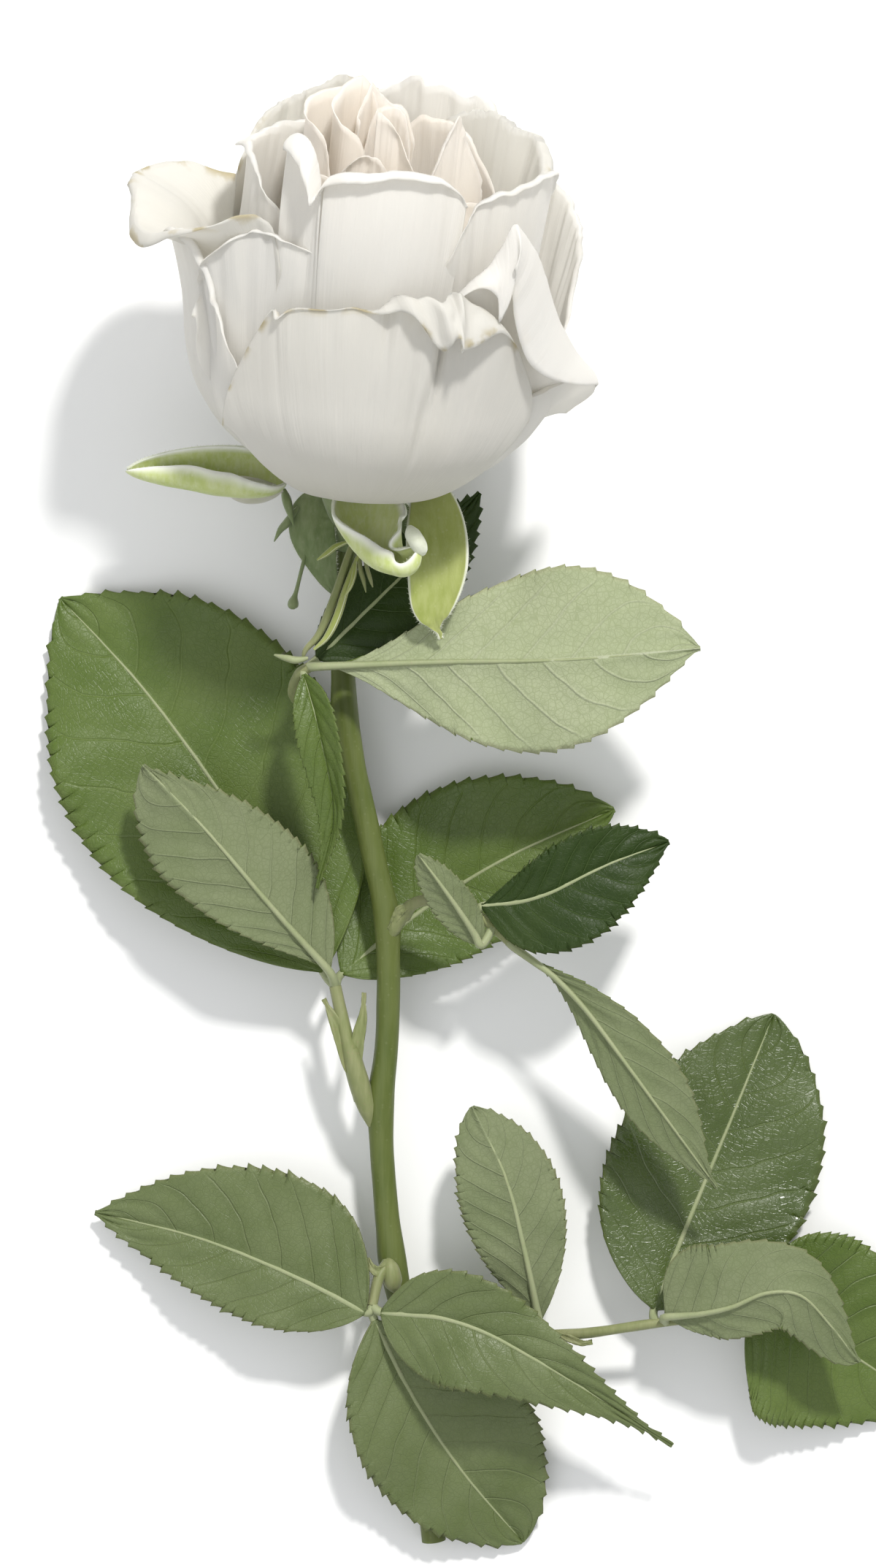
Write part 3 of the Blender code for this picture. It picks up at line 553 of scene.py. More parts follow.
shownPetals = {
    "petal_front_outer": dict(
        rank=0, belly=38.5, rows=90, columns=140, worn=True, spread=(0.35, 1),
        edge=[(-43, -0.3, 17), (-41, -1, 25), (-36, -1.5, 34), (-29, -2, 42.5), (-26, -2.3, 42.6),
            (-22, -2.5, 44.6), (-12, -2.5, 45.6), (-5, -2.5, 46.6), (2, -2.3, 46.6), (9, -1.5, 49.4),
            (17, -1.5, 49.6), (24, -1, 50), (29, -0.6, 50.4), (36, -0.2, 47), (41, 0.2, 43.4),
            (48, 0.5, 36.5), (55, 0, 29), (58, -0.5, 22)],
        lip=[(0, 0, 0), (0, 0, 0), (0, 0, 0), (0.6, 0, 0), (1.6, -0.6, 0), (0.6, -0.4, 0), (0.3, -0.3, 0),
            (0.4, -0.3, 0), (0.8, -0.5, 0), (3.4, -2.5, 3), (4.6, -8, 3), (5.8, -5, -1), (4.6, -9.5, -4),
            (3, -3, -2), (1, -1, 0), (0.3, 0, 0), (0, 0, 0), (0, 0, 0)],
        crumple=(3, 0.3, 0.17), ruffle=0.8,
        pushes=[(0.8, 0.24, 0.12, 0.035, 1.9, 0, 0), (0.8, 0.33, 0.12, 0.04, -2.2, 0, 0),
            (0.93, 0.02, 0.12, 0.03, -1.4, 0, 0), (0.62, 0.2, 0.12, 0.03, 0.9, 0, 0),
            (0.55, 0.26, 0.1, 0.03, -0.6, 0, 0)]),
    "petal_back_outer": dict(
        rank=1, belly=38, lip=[(1, 0, 0), (4, -2, 0), (1, 0, 0)],
        edge=[(-232, 0, 30), (-208, 0, 48), (-180, 0, 53), (-152, 0, 48), (-130, 0, 30)]),
    "petal_right_low": dict(
        rank=2, belly=37,
        lip=[(0, 0, 0), (1, 0, 0), (2, -0.5, 0), (1, 0, 0), (0, 0, 0)],
        edge=[(32, 0, 16), (56, -0.5, 26), (84, 1, 28), (104, 1.4, 30), (124, 0, 26)]),
    "petal_left_outer": dict(
        rank=3, belly=34.6, columns=90, flareCurve=5,
        edge=[(-126, 0, 30), (-112, 1.5, 35), (-98, 3.4, 40), (-85, 5, 45), (-72, 6.6, 50), (-64, 7.4, 52),
            (-59, 6.4, 51.7), (-54, 4.9, 48.5), (-50, 3.9, 43), (-47, 3.4, 39), (-41, 3, 33), (-36, 1, 26)],
        lip=[(0, 0, 0), (0, 0, 0), (1, 0, 0), (1.5, -1, 0), (1.5, -1, 0), (1, -1, 0), (0.5, 0, 0),
            (0, 0, 0)]),
    "petal_right_back": dict(
        rank=4, belly=35.6, columns=90,
        edge=[(84, 0, 30), (96, 2, 33), (104, 3.9, 38), (108, 4.9, 46), (111, 5.4, 50), (115, 4.9, 52.6),
            (120, 4.4, 54.7), (127, 3.4, 56.4), (136, 2, 55), (148, 0, 50), (162, 0, 42)],
        lip=[(0, 0, 0), (1, 0, 0), (1.2, -0.8, 0), (1, -0.6, 0), (0, 0, 0)]),
    "petal_left_back": dict(
        rank=5, belly=32.6, columns=90, worn=True,
        edge=[(-196, -3, 62), (-176, -5, 68), (-162, -5.4, 70.6), (-156, -5, 71), (-151, -4, 69.6),
            (-145, -2.6, 67.6), (-138, -1.6, 66.2), (-130, -1.2, 64.6), (-122, -1, 61), (-112, -1, 53)],
        lip=[(0, 0, 0), (1, -0.3, 0), (2.4, -1, 0), (2, -1.4, 0), (1, 0, 0), (0, 0, 0)],
        crumple=(0.9, 0.2, 0.4)),
    "petal_right_front": dict(
        rank=6, belly=34.2, rows=90, columns=120,
        edge=[(14, 0.8, 36), (23, 1.6, 47), (30, 1.8, 52.7), (36, 1.8, 55.7), (40, 1.8, 60),
            (42.5, 1.8, 62.5), (45, 2.3, 62), (52, 3.3, 56.8), (59, 4.3, 49), (66, 5.8, 40.5),
            (77, 7.8, 32.6), (90, 11.7, 23.5), (92, 9.5, 17)],
        lip=[(0, 0, 0), (1, 0, 0), (3, -0.5, 0), (4.5, -5, -1), (5.5, -14, -4), (5, -10, -3), (4.5, -6, -6),
            (3.5, -7.3, -12), (3, -7, -16), (2.5, -5, -17), (2, -1.5, -16), (0, 0, 0), (0, 0, 0)],
        ruffle=0.5),
    "petal_left_curled": dict(
        rank=7, belly=30.8, rows=90, columns=110, worn=True, flareCurve=14,
        edge=[(-128, 1.8, 46), (-122, 2.8, 51), (-117, 6, 52), (-112, 10, 53.4), (-107, 13, 53.2),
            (-100, 16, 53), (-90, 17, 55), (-78, 17, 56), (-71, 17, 51.6), (-62, 16.3, 51.5),
            (-57, 14, 53.5), (-49, 10, 55.7), (-44, 6, 57.6), (-41, 3.4, 57.8), (-37, 1, 55.5),
            (-33, 0.4, 48)],
        lip=[(0, 0, 0), (0, 0, 0), (0.8, 0.6, 0), (1, 0.8, 0), (1, -1, 0), (1, -3, 0), (0.8, -1.5, 0),
            (0.5, 0.5, 0), (0, 0.5, 0), (0, 0, 0)],
        crumple=(0.8, -0.1, 0.2), ruffle=0.8),
    "petal_front_inner": dict(
        rank=8, belly=31.8, rows=90, columns=130, spread=(0.5, 1.1),
        edge=[(-42.4, -4.4, 70.5), (-42, -4.8, 73), (-37, -5.4, 73.4), (-31, -5, 71), (-26, -4, 67.4),
            (-22.5, -3, 65.2), (-19.5, -3.3, 68.2), (-12, -3.8, 69.6), (-4, -4, 70), (4, -4.3, 70.7),
            (14, -4.3, 70.4), (23, -4.3, 69.4), (30, -3.8, 67), (34, -3.3, 64)],
        lip=[(1, -0.5, 0), (3, -2, 4), (5, -4.4, 7), (6, -6, 7), (6, -4, 4), (4, -1, 1), (2.6, -1.6, 0),
            (2.6, -1.6, 0), (2.4, -1.2, 0), (2.2, -1, 0), (2, -1, 0), (1.6, -0.8, 0), (1, -0.4, 0),
            (0.4, 0, 0)],
        ruffle=0.6,
        pushes=[(0.9, -0.22, 0.1, 0.03, -1.6, 0, 0), (0.84, 0.15, 0.14, 0.35, 1.2, 0, 0),
            (0.6, -0.1, 0.2, 0.5, -0.6, 0, 0)]),
    "petal_top_back": dict(
        rank=9, belly=30.6, columns=90, lip=[(2, 0, 0), (3, -1, 0), (2, -0.6, 0), (1, 0, 0)],
        edge=[(139, 3.4, 60), (144, 3, 66.5), (149, 1.4, 69.6), (153, -1.4, 69), (160, -2, 70.6),
            (168, -4, 71), (173, -4.6, 72.4), (180, -5.4, 70.2), (188, -6, 70), (194, -6.4, 69),
            (204, -3, 60)]),
    "petal_left_inner": dict(
        rank=9, belly=31.6, columns=90, spread=(0.5, 0.8), flareCurve=1.6,
        lip=[(0.8, 0, 0), (1.2, -0.4, 0), (1.6, -1, 0), (1, -0.4, 0), (0.5, 0, 0), (0, 0, 0)],
        edge=[(-57, 6.4, 36), (-57, 7.4, 42), (-52, 7, 48.6), (-47, 4.6, 53), (-42, 1.2, 55.2),
            (-31, -2.2, 54), (-15, -2.8, 52), (0, -3, 46)],
        pushes=[(0.72, -1, 0.16, 0.2, 1.6, 0, -4), (0.8, -0.72, 0.3, 0.1, -1.4, 0, 0)]),
    "petal_right_inner": dict(
        rank=10, belly=29.4, columns=90,
        lip=[(0, 0, 0), (0.5, 0, 0), (1.4, -0.6, 0), (1, -0.4, 0), (0, 0, 0)],
        edge=[(12, -0.8, 44), (26, -0.6, 53), (31, -0.6, 59.6), (35, -0.2, 64), (42, 0.4, 66),
            (50, 1.4, 66.8), (58, 2.6, 68), (66, 3.6, 69), (76, 3.4, 68), (88, 2, 60), (98, 1, 48)]),
    "petal_upper_left": dict(
        rank=11, belly=28.2, columns=96,
        lip=[(0, 0, 0), (1, 0, 0), (2.4, -1.2, 0), (1.6, -0.8, 0), (0.5, 0, 0), (0, 0, 0)],
        edge=[(-146, -10, 63), (-138, -7.4, 64.6), (-130, -5, 64.4), (-124, -3, 64.2), (-116, -1.6, 63),
            (-104, -1.2, 62.6), (-88, -1.2, 64.5), (-72, -0.8, 66.4), (-61, -0.2, 66), (-55, 0, 63),
            (-49, -0.8, 60), (-40, -1.6, 56), (-30, -1.6, 48)]),
    "petal_top_right": dict(
        rank=12, belly=27, columns=110, worn=True, ragged=(1.3, 0.25, 0.4),
        lip=[(0, 0, 0), (2, -1, 0), (3, -1.5, 0), (2, -1, 0), (0.5, 0, 0)],
        edge=[(60, -0.6, 48), (80, 0.4, 56), (98, 2.4, 60), (112, 5, 61), (122, 7.5, 62.6),
            (128, 7.5, 64.6), (134, 6, 65.6), (139, 4, 67.6), (145, 1.4, 67.6), (151, -1, 67),
            (158, -4, 65)]),
}

# the closed heart, from the outside in
budPetals = {
    "count": 10, "goldenAngle": 137.5, "firstAngle": 30.0, "belly": (25.4, 7.0), "height": (62.0, 72.0),
    "halfAngle": 62.0, "lean": -0.14, "shoulder": 14.0, "firstRank": 13, "ruffle": 0.6, "rows": 50,
    "columns": 60, "lip": [(0, 0, 0), (0.8, -0.4, 0), (0.4, 0, 0), (0, 0, 0)]}
# the folds that show in the open heart of the bloom, as edge lists like the ones above
openFolds = {
    2: [(104, -1, 56), (122, -2, 62), (138, -2, 65.5), (149, -2.4, 66.6), (157, -3, 67), (165, -4, 67),
        (176, -5, 63), (196, -6, 58)],
    4: [(6, 1, 56), (18, 1.4, 63), (27, 1, 70), (35, 0, 76), (41, -0.6, 78.4), (48, 0, 73), (60, 0.6, 66),
        (78, 0, 60)],
    5: [(-176, -0.6, 66), (-162, 0, 70.6), (-146, 0.4, 72.4), (-120, 0, 72), (-84, -0.6, 71.6),
        (-52, -0.6, 71.4), (-41, -0.4, 68), (-34, 0, 60)],
    6: [(-50, 0, 56), (-32, 1.4, 63.6), (-23, 1.6, 67), (-16, 1.4, 69.2), (-9, 1.6, 69.4), (-2, 2, 68.4),
        (8, 2, 64), (22, 0, 56)],
    7: [(-14, -2, 76), (-2, -1, 75.4), (8, -0.6, 73), (15, 1, 69), (22, 2, 66), (40, 1.4, 64), (70, 0, 62),
        (104, 0, 60)],
    8: [(-170, -3, 64), (-160, -1, 72), (-151, 1, 75.6), (-143, 1.2, 75.8), (-120, 0.6, 74.6),
        (-86, 0.4, 73.2), (-54, 0, 71.4), (-38, -2.4, 69), (-26, -3.4, 64)],
    9: [(-206, 1.6, 64), (-190, 3, 70), (-176, 3.6, 71), (-166, 4, 72.6), (-156, 2.6, 74.8),
        (-146, 0.6, 74), (-120, -2, 72), (-90, -3, 70)],
}


def budPetal(index):
    part = index / (budPetals["count"] - 1)
    outside, inside = budPetals["belly"]
    first, last = budPetals["height"]
    belly = outside + (inside - outside) * part
    height = first + (last - first) * part
    centre = budPetals["firstAngle"] + budPetals["goldenAngle"] * index
    edge = openFolds.get(index + 1) or [
        (centre + budPetals["halfAngle"] * turn, belly * budPetals["lean"],
         height - budPetals["shoulder"] * abs(turn) ** 3) for turn in (-1, -0.5, 0, 0.5, 1)]
    return dict(rank=budPetals["firstRank"] + index, belly=belly, edge=edge, lip=budPetals["lip"],
                ruffle=budPetals["ruffle"])


def buildBloom():
    clean = [finishes[name] for name in ("petalInside", "petalOutside", "petalOutside")]
    worn = [finishes["petalWorn"]] * 3
    heart = [finishes["petalHeart"]] * 3
    for node, petal in shownPetals.items():
        skins = worn if petal.get("worn") else clean
        settle(makeSheet(node + "_skin", petalSurface(petal), {**petalCup, **petal}, skins), node)
    for index in range(budPetals["count"]):
        node = "petal_bud_%02d" % (index + 1)
        piece = makeSheet(node + "_skin", petalSurface(budPetal(index)), {**petalCup, **budPetals}, heart)
        settle(piece, node)


def bladeFrame(midrib, s):
    point = through(midrib, s)
    way = (through(midrib, min(s + 0.02, 1.0)) - through(midrib, max(s - 0.02, 0.0))).normalized()
    side = zUp.cross(way).normalized()
    return point, way, side, way.cross(side)


def halfWidth(place, widest, fullness):
    rise = fullness * widest
    fall = fullness * (1.0 - widest)
    peak = widest ** rise * (1.0 - widest) ** fall
    return place ** rise * (1.0 - place) ** fall / peak


def bladePlace(blade, s, t, least):
    # the midrib here, its direction, the two directions off it, and how far out the blade reaches
    point, way, side, up = bladeFrame(blade["midrib"], s)
    first, last = blade.get("tilt", (0, 0))
    turn = math.radians(first + (last - first) * s)
    across = side * math.cos(turn) + up * math.sin(turn)
    over = up * math.cos(turn) - side * math.sin(turn)
    width, widest = blade["left"] if t > 0 else blade["right"]
    edge = abs(t)
    reach = max(edge * width * halfWidth(s, widest, blade["fullness"]), edge * least)
    return point, way, across, over, width, reach


# phases and rises: where the rows of one tooth lie, and how far out each stands
leafBuild = {
    "columns": 28, "wall": 0.3, "phases": (0.0, 0.3, 0.6, 0.85, 0.97), "rises": (0.0, 0.22, 0.55, 1.0, 0.3),
    "puff": 0.17, "groove": 0.17, "midGroove": 0.45, "buckle": (0.9, 0.35)}
leafUsual = {"faceUp": "top", "wave": 0.0, "teeth": 24, "toothSize": 0.9}


def leafSurface(leaf, seed):
    foldUp = math.radians(leaf["fold"])
    wave = leaf["wave"] * 1.6
    puffUp = 1.0 if leaf["faceUp"] == "top" else -1.0
    phases = leafBuild["phases"]
    broad, fine = leafBuild["buckle"]

    def surface(s, t):
        point, way, across, over, width, reach = bladePlace(leaf, s, t, 0.45)
        edge = abs(t)
        toothAt = s * leaf["teeth"]
        number = math.floor(toothAt + 0.001)
        part = toothAt - number
        rise = leafBuild["rises"][min(range(len(phases)), key=lambda k: abs(phases[k] - part))]
        grown = clamp((s - 0.05) / 0.2) * clamp((1.0 - s) / 0.06)
        size = leaf["toothSize"] * (0.72 + 0.6 * wobble(number * 1.7, seed, 2.0 if t > 0 else 6.0)) * grown
        tooth = size * rise * clamp((edge - 0.8) / 0.2) ** 1.6
        phase = s * leafVeins["Pairs"] - leafVeins["Slant"] * edge ** 1.2 + (0.45 if t > 0 else 0.0)
        phase += 0.22 * wobble(s * 3.0, seed, 1.0 if t > 0 else 5.0)
        gap = abs(phase - math.floor(phase) - 0.5)
        quilt = leafBuild["puff"] * math.cos(gap * math.pi) ** 2
        quilt *= min(edge * 3.0, 1.0) * clamp((1.0 - edge) * 4.0)
        quilt -= leafBuild["groove"] * hill(0.5 - gap, 0.12) * clamp((0.95 - edge) * 3.0)
        quilt -= leafBuild["midGroove"] * hill(edge, 0.09)
        lift = math.sin(foldUp) * reach
        lift += wave * math.sin(s * 19.0 + (1.5 if t > 0 else 0.0)) * edge ** 2 * math.sin(math.pi * s)
        lift += broad * wobble(s * 2.4, t * 1.1, seed) * edge * math.sin(math.pi * clamp(s, 0.02, 1.0))
        lift += fine * wobble(s * 9.0, t * 2.5, seed + 3.0) * edge
        lift += puffUp * quilt * min(1.0, 6.0 * s) * min(1.0, width / 9.0)
        outward = math.copysign(reach * math.cos(foldUp) + tooth, t)
        return point + across * outward + over * lift + way * tooth * 0.7

    return surface


def toothedRows(teeth):
    phases = leafBuild["phases"]
    steps = len(phases)

    def placeRow(s):
        row = round(s * teeth * steps)
        return min((row // steps + phases[row % steps]) / teeth, 1.0)

    return placeRow


leaves = {
    "leaflet_a_right": dict(
        midrib=[(-22.4, 22.4, 26.8), (0, 23.2, 28.5), (25, 23.6, 31.5), (49.8, 25.7, 33)],
        left=(17.8, 0.66), right=(17.2, 0.57), fullness=3, fold=-5, tilt=(4, -6), wave=0.9,
        faceUp="underside", finish="leafUnderPale", toothSize=0.75),
    "leaflet_a_behind": dict(
        midrib=[(-23, 24, 24.2), (-14, 32.9, 23), (-2.8, 44.1, 20), (8, 56, 16)],
        left=(6.5, 0.4), right=(11, 0.45), fullness=1.7, fold=2, finish="leafTopDark"),
    "leaflet_a_narrow": dict(
        midrib=[(-25.6, 20.9, 26.2), (-22.6, 9.6, 27.5), (-20, -6, 24), (-23, -20, 19)],
        left=(5, 0.32), right=(4.6, 0.36), fullness=2.2, fold=30, tilt=(10, 35), toothSize=0.6),
    "leaflet_b_left": dict(
        midrib=[(-22.2, -36.2, 12.2), (-37.5, -9, 8.5), (-56, 17, 5.5), (-73.6, 36.2, 0.9)],
        left=(27, 0.48), right=(27.4, 0.46), fullness=1.8, fold=3, tilt=(3, -1), wave=0.8, teeth=30),
    "leaflet_b_front": dict(
        midrib=[(-21, -36, 15.4), (-32, -23.5, 20), (-44, -9.3, 22), (-56.6, 3.6, 19)],
        left=(12.3, 0.66), right=(12.5, 0.38), fullness=2, fold=-8, tilt=(24, -14), wave=0.4,
        faceUp="underside", toothSize=0.8),
    "leaflet_b_right": dict(
        midrib=[(-18.6, -36.6, 9.8), (-2.8, -24.3, 5.8), (14.1, -13.9, 7), (34.2, -4.9, 8)],
        left=(18.5, 0.48), right=(13, 0.46), fullness=1.6, fold=2, tilt=(-10, 0), wave=0.4),
    "leaflet_c_right": dict(
        midrib=[(8.4, -23.4, 23.2), (19.5, -21.5, 25), (32.1, -15.5, 25), (44.2, -11.1, 22)],
        left=(7.8, 0.55), right=(11.5, 0.43), fullness=1.8, fold=6, wave=0.3, finish="leafTopDark"),
    "leaflet_c_small": dict(
        midrib=[(8.2, -30.6, 22.8), (4.6, -25, 25.4), (0.4, -19, 27.6), (-3.8, -13.4, 28.5)],
        left=(4.4, 0.5), right=(4, 0.4), fullness=1.3, fold=-20, tilt=(10, -10), faceUp="underside",
        toothSize=0.5, teeth=14),
    "leaflet_c_hanging": dict(
        midrib=[(14.8, -31.4, 21), (25.8, -40.3, 23), (40, -59, 24), (53.5, -77.4, 19)],
        left=(7.8, 0.62), right=(5.8, 0.66), fullness=4.4, fold=-6, tilt=(50, -5), faceUp="underside",
        toothSize=0.6),
    "leaflet_d_left": dict(
        midrib=[(-14, -101.8, 14.4), (-29, -94.6, 11), (-46.7, -87.9, 7.5), (-66.7, -83.3, 3)],
        left=(11.3, 0.42), right=(18, 0.4), fullness=1.7, fold=4, wave=0.5, finish="leafTopGrey"),
    "leaflet_d_bottom": dict(
        midrib=[(-12.3, -103.4, 13.4), (-5, -118, 12), (4.5, -133, 7), (16.5, -147.6, 1.6)],
        left=(18.5, 0.56), right=(15, 0.5), fullness=1.6, fold=6, tilt=(-4, 4), wave=0.5,
        finish="leafTopGrey"),
    "leaflet_d_right": dict(
        midrib=[(-11, -101.7, 15.2), (5.6, -103.8, 20), (25.2, -114.3, 20), (45.2, -127.5, 13)],
        left=(9.6, 0.3), right=(12.5, 0.29), fullness=2.6, fold=6, wave=0.5, finish="leafTopGrey",
        toothSize=0.8),
    "leaflet_e_upright": dict(
        midrib=[(19.6, -104.2, 10.8), (16.6, -89.6, 14), (12.9, -75.4, 16), (6.5, -62.1, 15)],
        left=(10, 0.56), right=(9.5, 0.54), fullness=1.7, fold=-5, tilt=(-4, 6), wave=0.3,
        faceUp="underside", toothSize=0.7),
    "leaflet_e_large": dict(
        midrib=[(41.8, -101.6, 10), (49, -84, 6), (57.5, -64, 3.5), (65.4, -44.8, 1.5)],
        left=(19.5, 0.44), right=(20.4, 0.5), fullness=1.5, fold=3, tilt=(0, 2), wave=0.5,
        finish="leafTopDeep"),
    "leaflet_e_front": dict(
        midrib=[(43.8, -102.6, 15.4), (54, -101, 20), (68.1, -97.2, 23), (81, -111, 17)],
        left=(13, 0.26), right=(7.5, 0.62), fullness=1.4, fold=-10, tilt=(10, -10), wave=0.3,
        faceUp="underside", toothSize=0.6),
    "leaflet_e_right": dict(
        midrib=[(60.2, -102, 10.4), (68, -104.5, 9), (79, -110, 5), (94, -120, 0.9)],
        left=(20, 0.46), right=(19, 0.44), fullness=1.3, fold=4, tilt=(-2, 0), wave=0.4),
}
leafRib = {"places": (0.0, 0.12, 0.25, 0.4, 0.55, 0.7, 0.85, 0.96), "points": 48, "sides": 8,
           "radii": (0.95, 0.8, 0.62, 0.5, 0.38, 0.25, 0.12), "offset": 0.35, "baseOffset": 0.25}
stalks = {
    "leaf_stalk_a": dict(
        route=[(-21.4, 13.2, 15.2), (-25, 14.4, 16), (-27.7, 17.3, 20), (-26.6, 20.9, 24.4),
            (-24.6, 22.3, 25.6)],
        radii=(1.5, 1.1, 1)),
    "leaf_stalk_b": dict(
        route=[(-14.4, -60.8, 12.5), (-16.2, -54.4, 14), (-18, -47.3, 14.2), (-19.8, -39, 13.6)],
        radii=(1.9, 1.5, 1.2)),
    "leaf_stalk_c": dict(
        route=[(-6.6, -25.4, 16.6), (-5, -23.2, 18.8), (-1.8, -22.2, 20.8), (3, -22.8, 21.8),
            (7.6, -25, 21.8), (13.6, -30.2, 21)],
        radii=(1.4, 1, 0.9)),
    "leaf_stalk_d": dict(
        route=[(-9.6, -92.6, 10.4), (-11.4, -95.2, 12.2), (-12.7, -100.6, 13.4)],
        radii=(1.3, 1.1, 1.1)),
    "leaf_stalk_e": dict(
        route=[(-3.4, -111, 8.8), (6, -109, 7.4), (19.1, -106.9, 8.4), (29, -106.1, 10.4),
            (41, -104.2, 12.2), (50, -103.2, 11.2), (58.8, -102.4, 10.4)],
        radii=(1.4, 1, 0.9)),
}
stalkBuild = {"points": 60, "sides": 16, "roughen": 0.12}
# small clasping wings where the leaves branch: stalk, (half width, widest place), midrib
stipules = {
    "stipule_b_left": ("leaf_stalk_b", (1.5, 0.3), [
        (-16.8, -56, 13.8), (-18.2, -50, 14.8), (-20.2, -45, 14.8), (-22, -41.4, 14.2)]),
    "stipule_b_right": ("leaf_stalk_b", (1.2, 0.32), [
        (-15.6, -55, 13.8), (-15.4, -49.4, 14.8), (-14.5, -44.8, 14.8), (-14.3, -40.2, 14.2)]),
    "stipule_d": ("leaf_stalk_d", (1, 0.4), [
        (-9.4, -93.2, 11.6), (-11.2, -94, 12.6), (-12.6, -93.4, 12.8), (-13.6, -91.5, 12.4)]),
    "stipule_e": ("leaf_stalk_e", (0.7, 0.4), [
        (23.4, -106.4, 10), (25.6, -107.2, 10.6), (27.8, -108, 10.6), (29.8, -107.8, 10.2)]),
    "stipule_c": ("leaf_stalk_c", (0.9, 0.4), [
        (-5.4, -23.4, 19.2), (-7.2, -24.2, 18.8), (-8.2, -25.8, 17.8), (-9.4, -28, 16.6)]),
}
stipuleBuild = {"rows": 30, "columns": 12, "wall": 0.3, "fullness": 1.6, "fold": 12}
# swellings where the stalks leave the stem: stalk, radii, route
collars = {
    "collar_b": ("leaf_stalk_b", (0.6, 1.7, 2, 2, 1.8), [
        (-13, -66, 11.6), (-13.6, -63, 12.2), (-14.8, -59, 13), (-16, -55, 13.6), (-17, -51, 13.9)]),
    "collar_c": ("leaf_stalk_c", (0.5, 1.3, 1.5, 1.2, 0.6), [
        (-9.4, -30, 15.2), (-8.6, -28, 15.8), (-7.8, -26.4, 16.4), (-6.6, -25, 17.4), (-5.4, -23.8, 18.4)]),
    "collar_d": ("leaf_stalk_d", (0.5, 1.7, 1.9, 1.6, 0.5), [
        (-8, -98.2, 9.6), (-8.6, -96.6, 10.6), (-9, -94.8, 11), (-9.4, -93, 10.8), (-9.6, -91.6, 10.2)]),
}
collarBuild = {"points": 32, "sides": 18, "roughen": 0.12}


def buildLeaves():
    for order, (node, given) in enumerate(leaves.items()):
        leaf = {**leafUsual, **given}
        showsTop = leaf["faceUp"] == "top"
        top = finishes[leaf.get("finish", "leafTop") if showsTop else "leafTop"]
        under = finishes["leafUnder" if showsTop else leaf.get("finish", "leafUnder")]
        skins = [top, under, top] if showsTop else [under, top, top]
        sheet = dict(leafBuild, rows=leaf["teeth"] * len(leafBuild["phases"]))
        piece = makeSheet(node + "_blade", leafSurface(leaf, order * 2.3 + 0.7), sheet, skins,
                          toothedRows(leaf["teeth"]))
        settle(piece, node)
        stalk = stalks["leaf_stalk_" + node[len("leaflet_")]]
        base = Vector(leaf["midrib"][0])
        samples = [through(stalk["route"], step / 60.0) for step in range(61)]
        route = [min(samples, key=lambda place: (place - base).length)]
        for place in leafRib["places"]:
            point, way, side, up = bladeFrame(leaf["midrib"], place)
            offset = leafRib["offset"] + leafRib["baseOffset"] * (1.0 - place)
            route.append(point + up * (-offset if showsTop else offset))
        settle(makeRod(node + "_rib", dict(leafRib, route=route), finishes["ribPale"]), node)


def buildStalks():
    green = finishes["stalkGreen"]
    for node, stalk in stalks.items():
        settle(makeRod(node + "_rod", {**stalkBuild, **stalk}, green), node)
    for name, (node, radii, route) in collars.items():
        settle(makeRod(name, dict(collarBuild, radii=radii, route=route), green), node)
    for order, (name, (node, width, midrib)) in enumerate(stipules.items()):
        wing = dict(stipuleBuild, midrib=midrib, left=width, right=width)
        settle(makeSheet(name, sepalSurface(wing, order + 0.3), wing, [green] * 3), node)


stem = {
    "route": [
        (-18.3, 36.8, 16.2), (-18.3, 22, 15.8), (-16.9, 7.5, 15.8), (-13.1, -10.8, 15.1),
        (-10, -26.5, 14.2), (-9.7, -46, 12.6), (-11, -65.8, 10.8), (-9.3, -88.6, 8.4), (-6.1, -107.1, 6.4),
        (-3.1, -128.5, 4.4), (-0.8, -147.2, 2.33)],
    "radii": (2.3, 2.3, 2.25, 2.3, 2.35, 2.35), "sides": 32, "points": 320, "roughen": 0.12,
    "knotReach": 5.0, "knotSwell": 0.7, "neckGap": 0.4}
hip = {"length": 15.0, "radii": (2.4, 2.9, 4.8, 6.2, 5.6), "points": 48, "sides": 40, "roughen": 0.15}


def buildStem():
    neck = bloomBase - bloomAxis * (hip["length"] + stem["neckGap"])
    knots = [Vector(stalk["route"][0]) for stalk in stalks.values()]
    piece = makeRod("stem_rod", dict(stem, route=[neck] + stem["route"]), finishes["stemGreen"])
    for corner in piece.data.vertices:
        place = corner.co / mm + planMiddle
        near = max(hill((place - knot).length, stem["knotReach"]) for knot in knots)
        corner.co += corner.normal * near * stem["knotSwell"] * mm
    # the cut end shows its pale pith
    cutPlace = inMetres(Vector(stem["route"][-1]))
    cutFace = min(piece.data.polygons, key=lambda face: (face.center - cutPlace).length)
    piece.data.materials.append(finishes["pith"])
    cutFace.material_index = 1
    cutFace.use_smooth = False
    settle(piece, "stem")


def buildHip():
    bottom = bloomBase - bloomAxis * hip["length"]
    route = [bottom] + [bottom.lerp(bloomBase, part) for part in (0.25, 0.5, 0.75)] + [bloomBase]
    settle(makeRod("hip_skin", dict(hip, route=route), finishes["sepalDark"]), "hip")


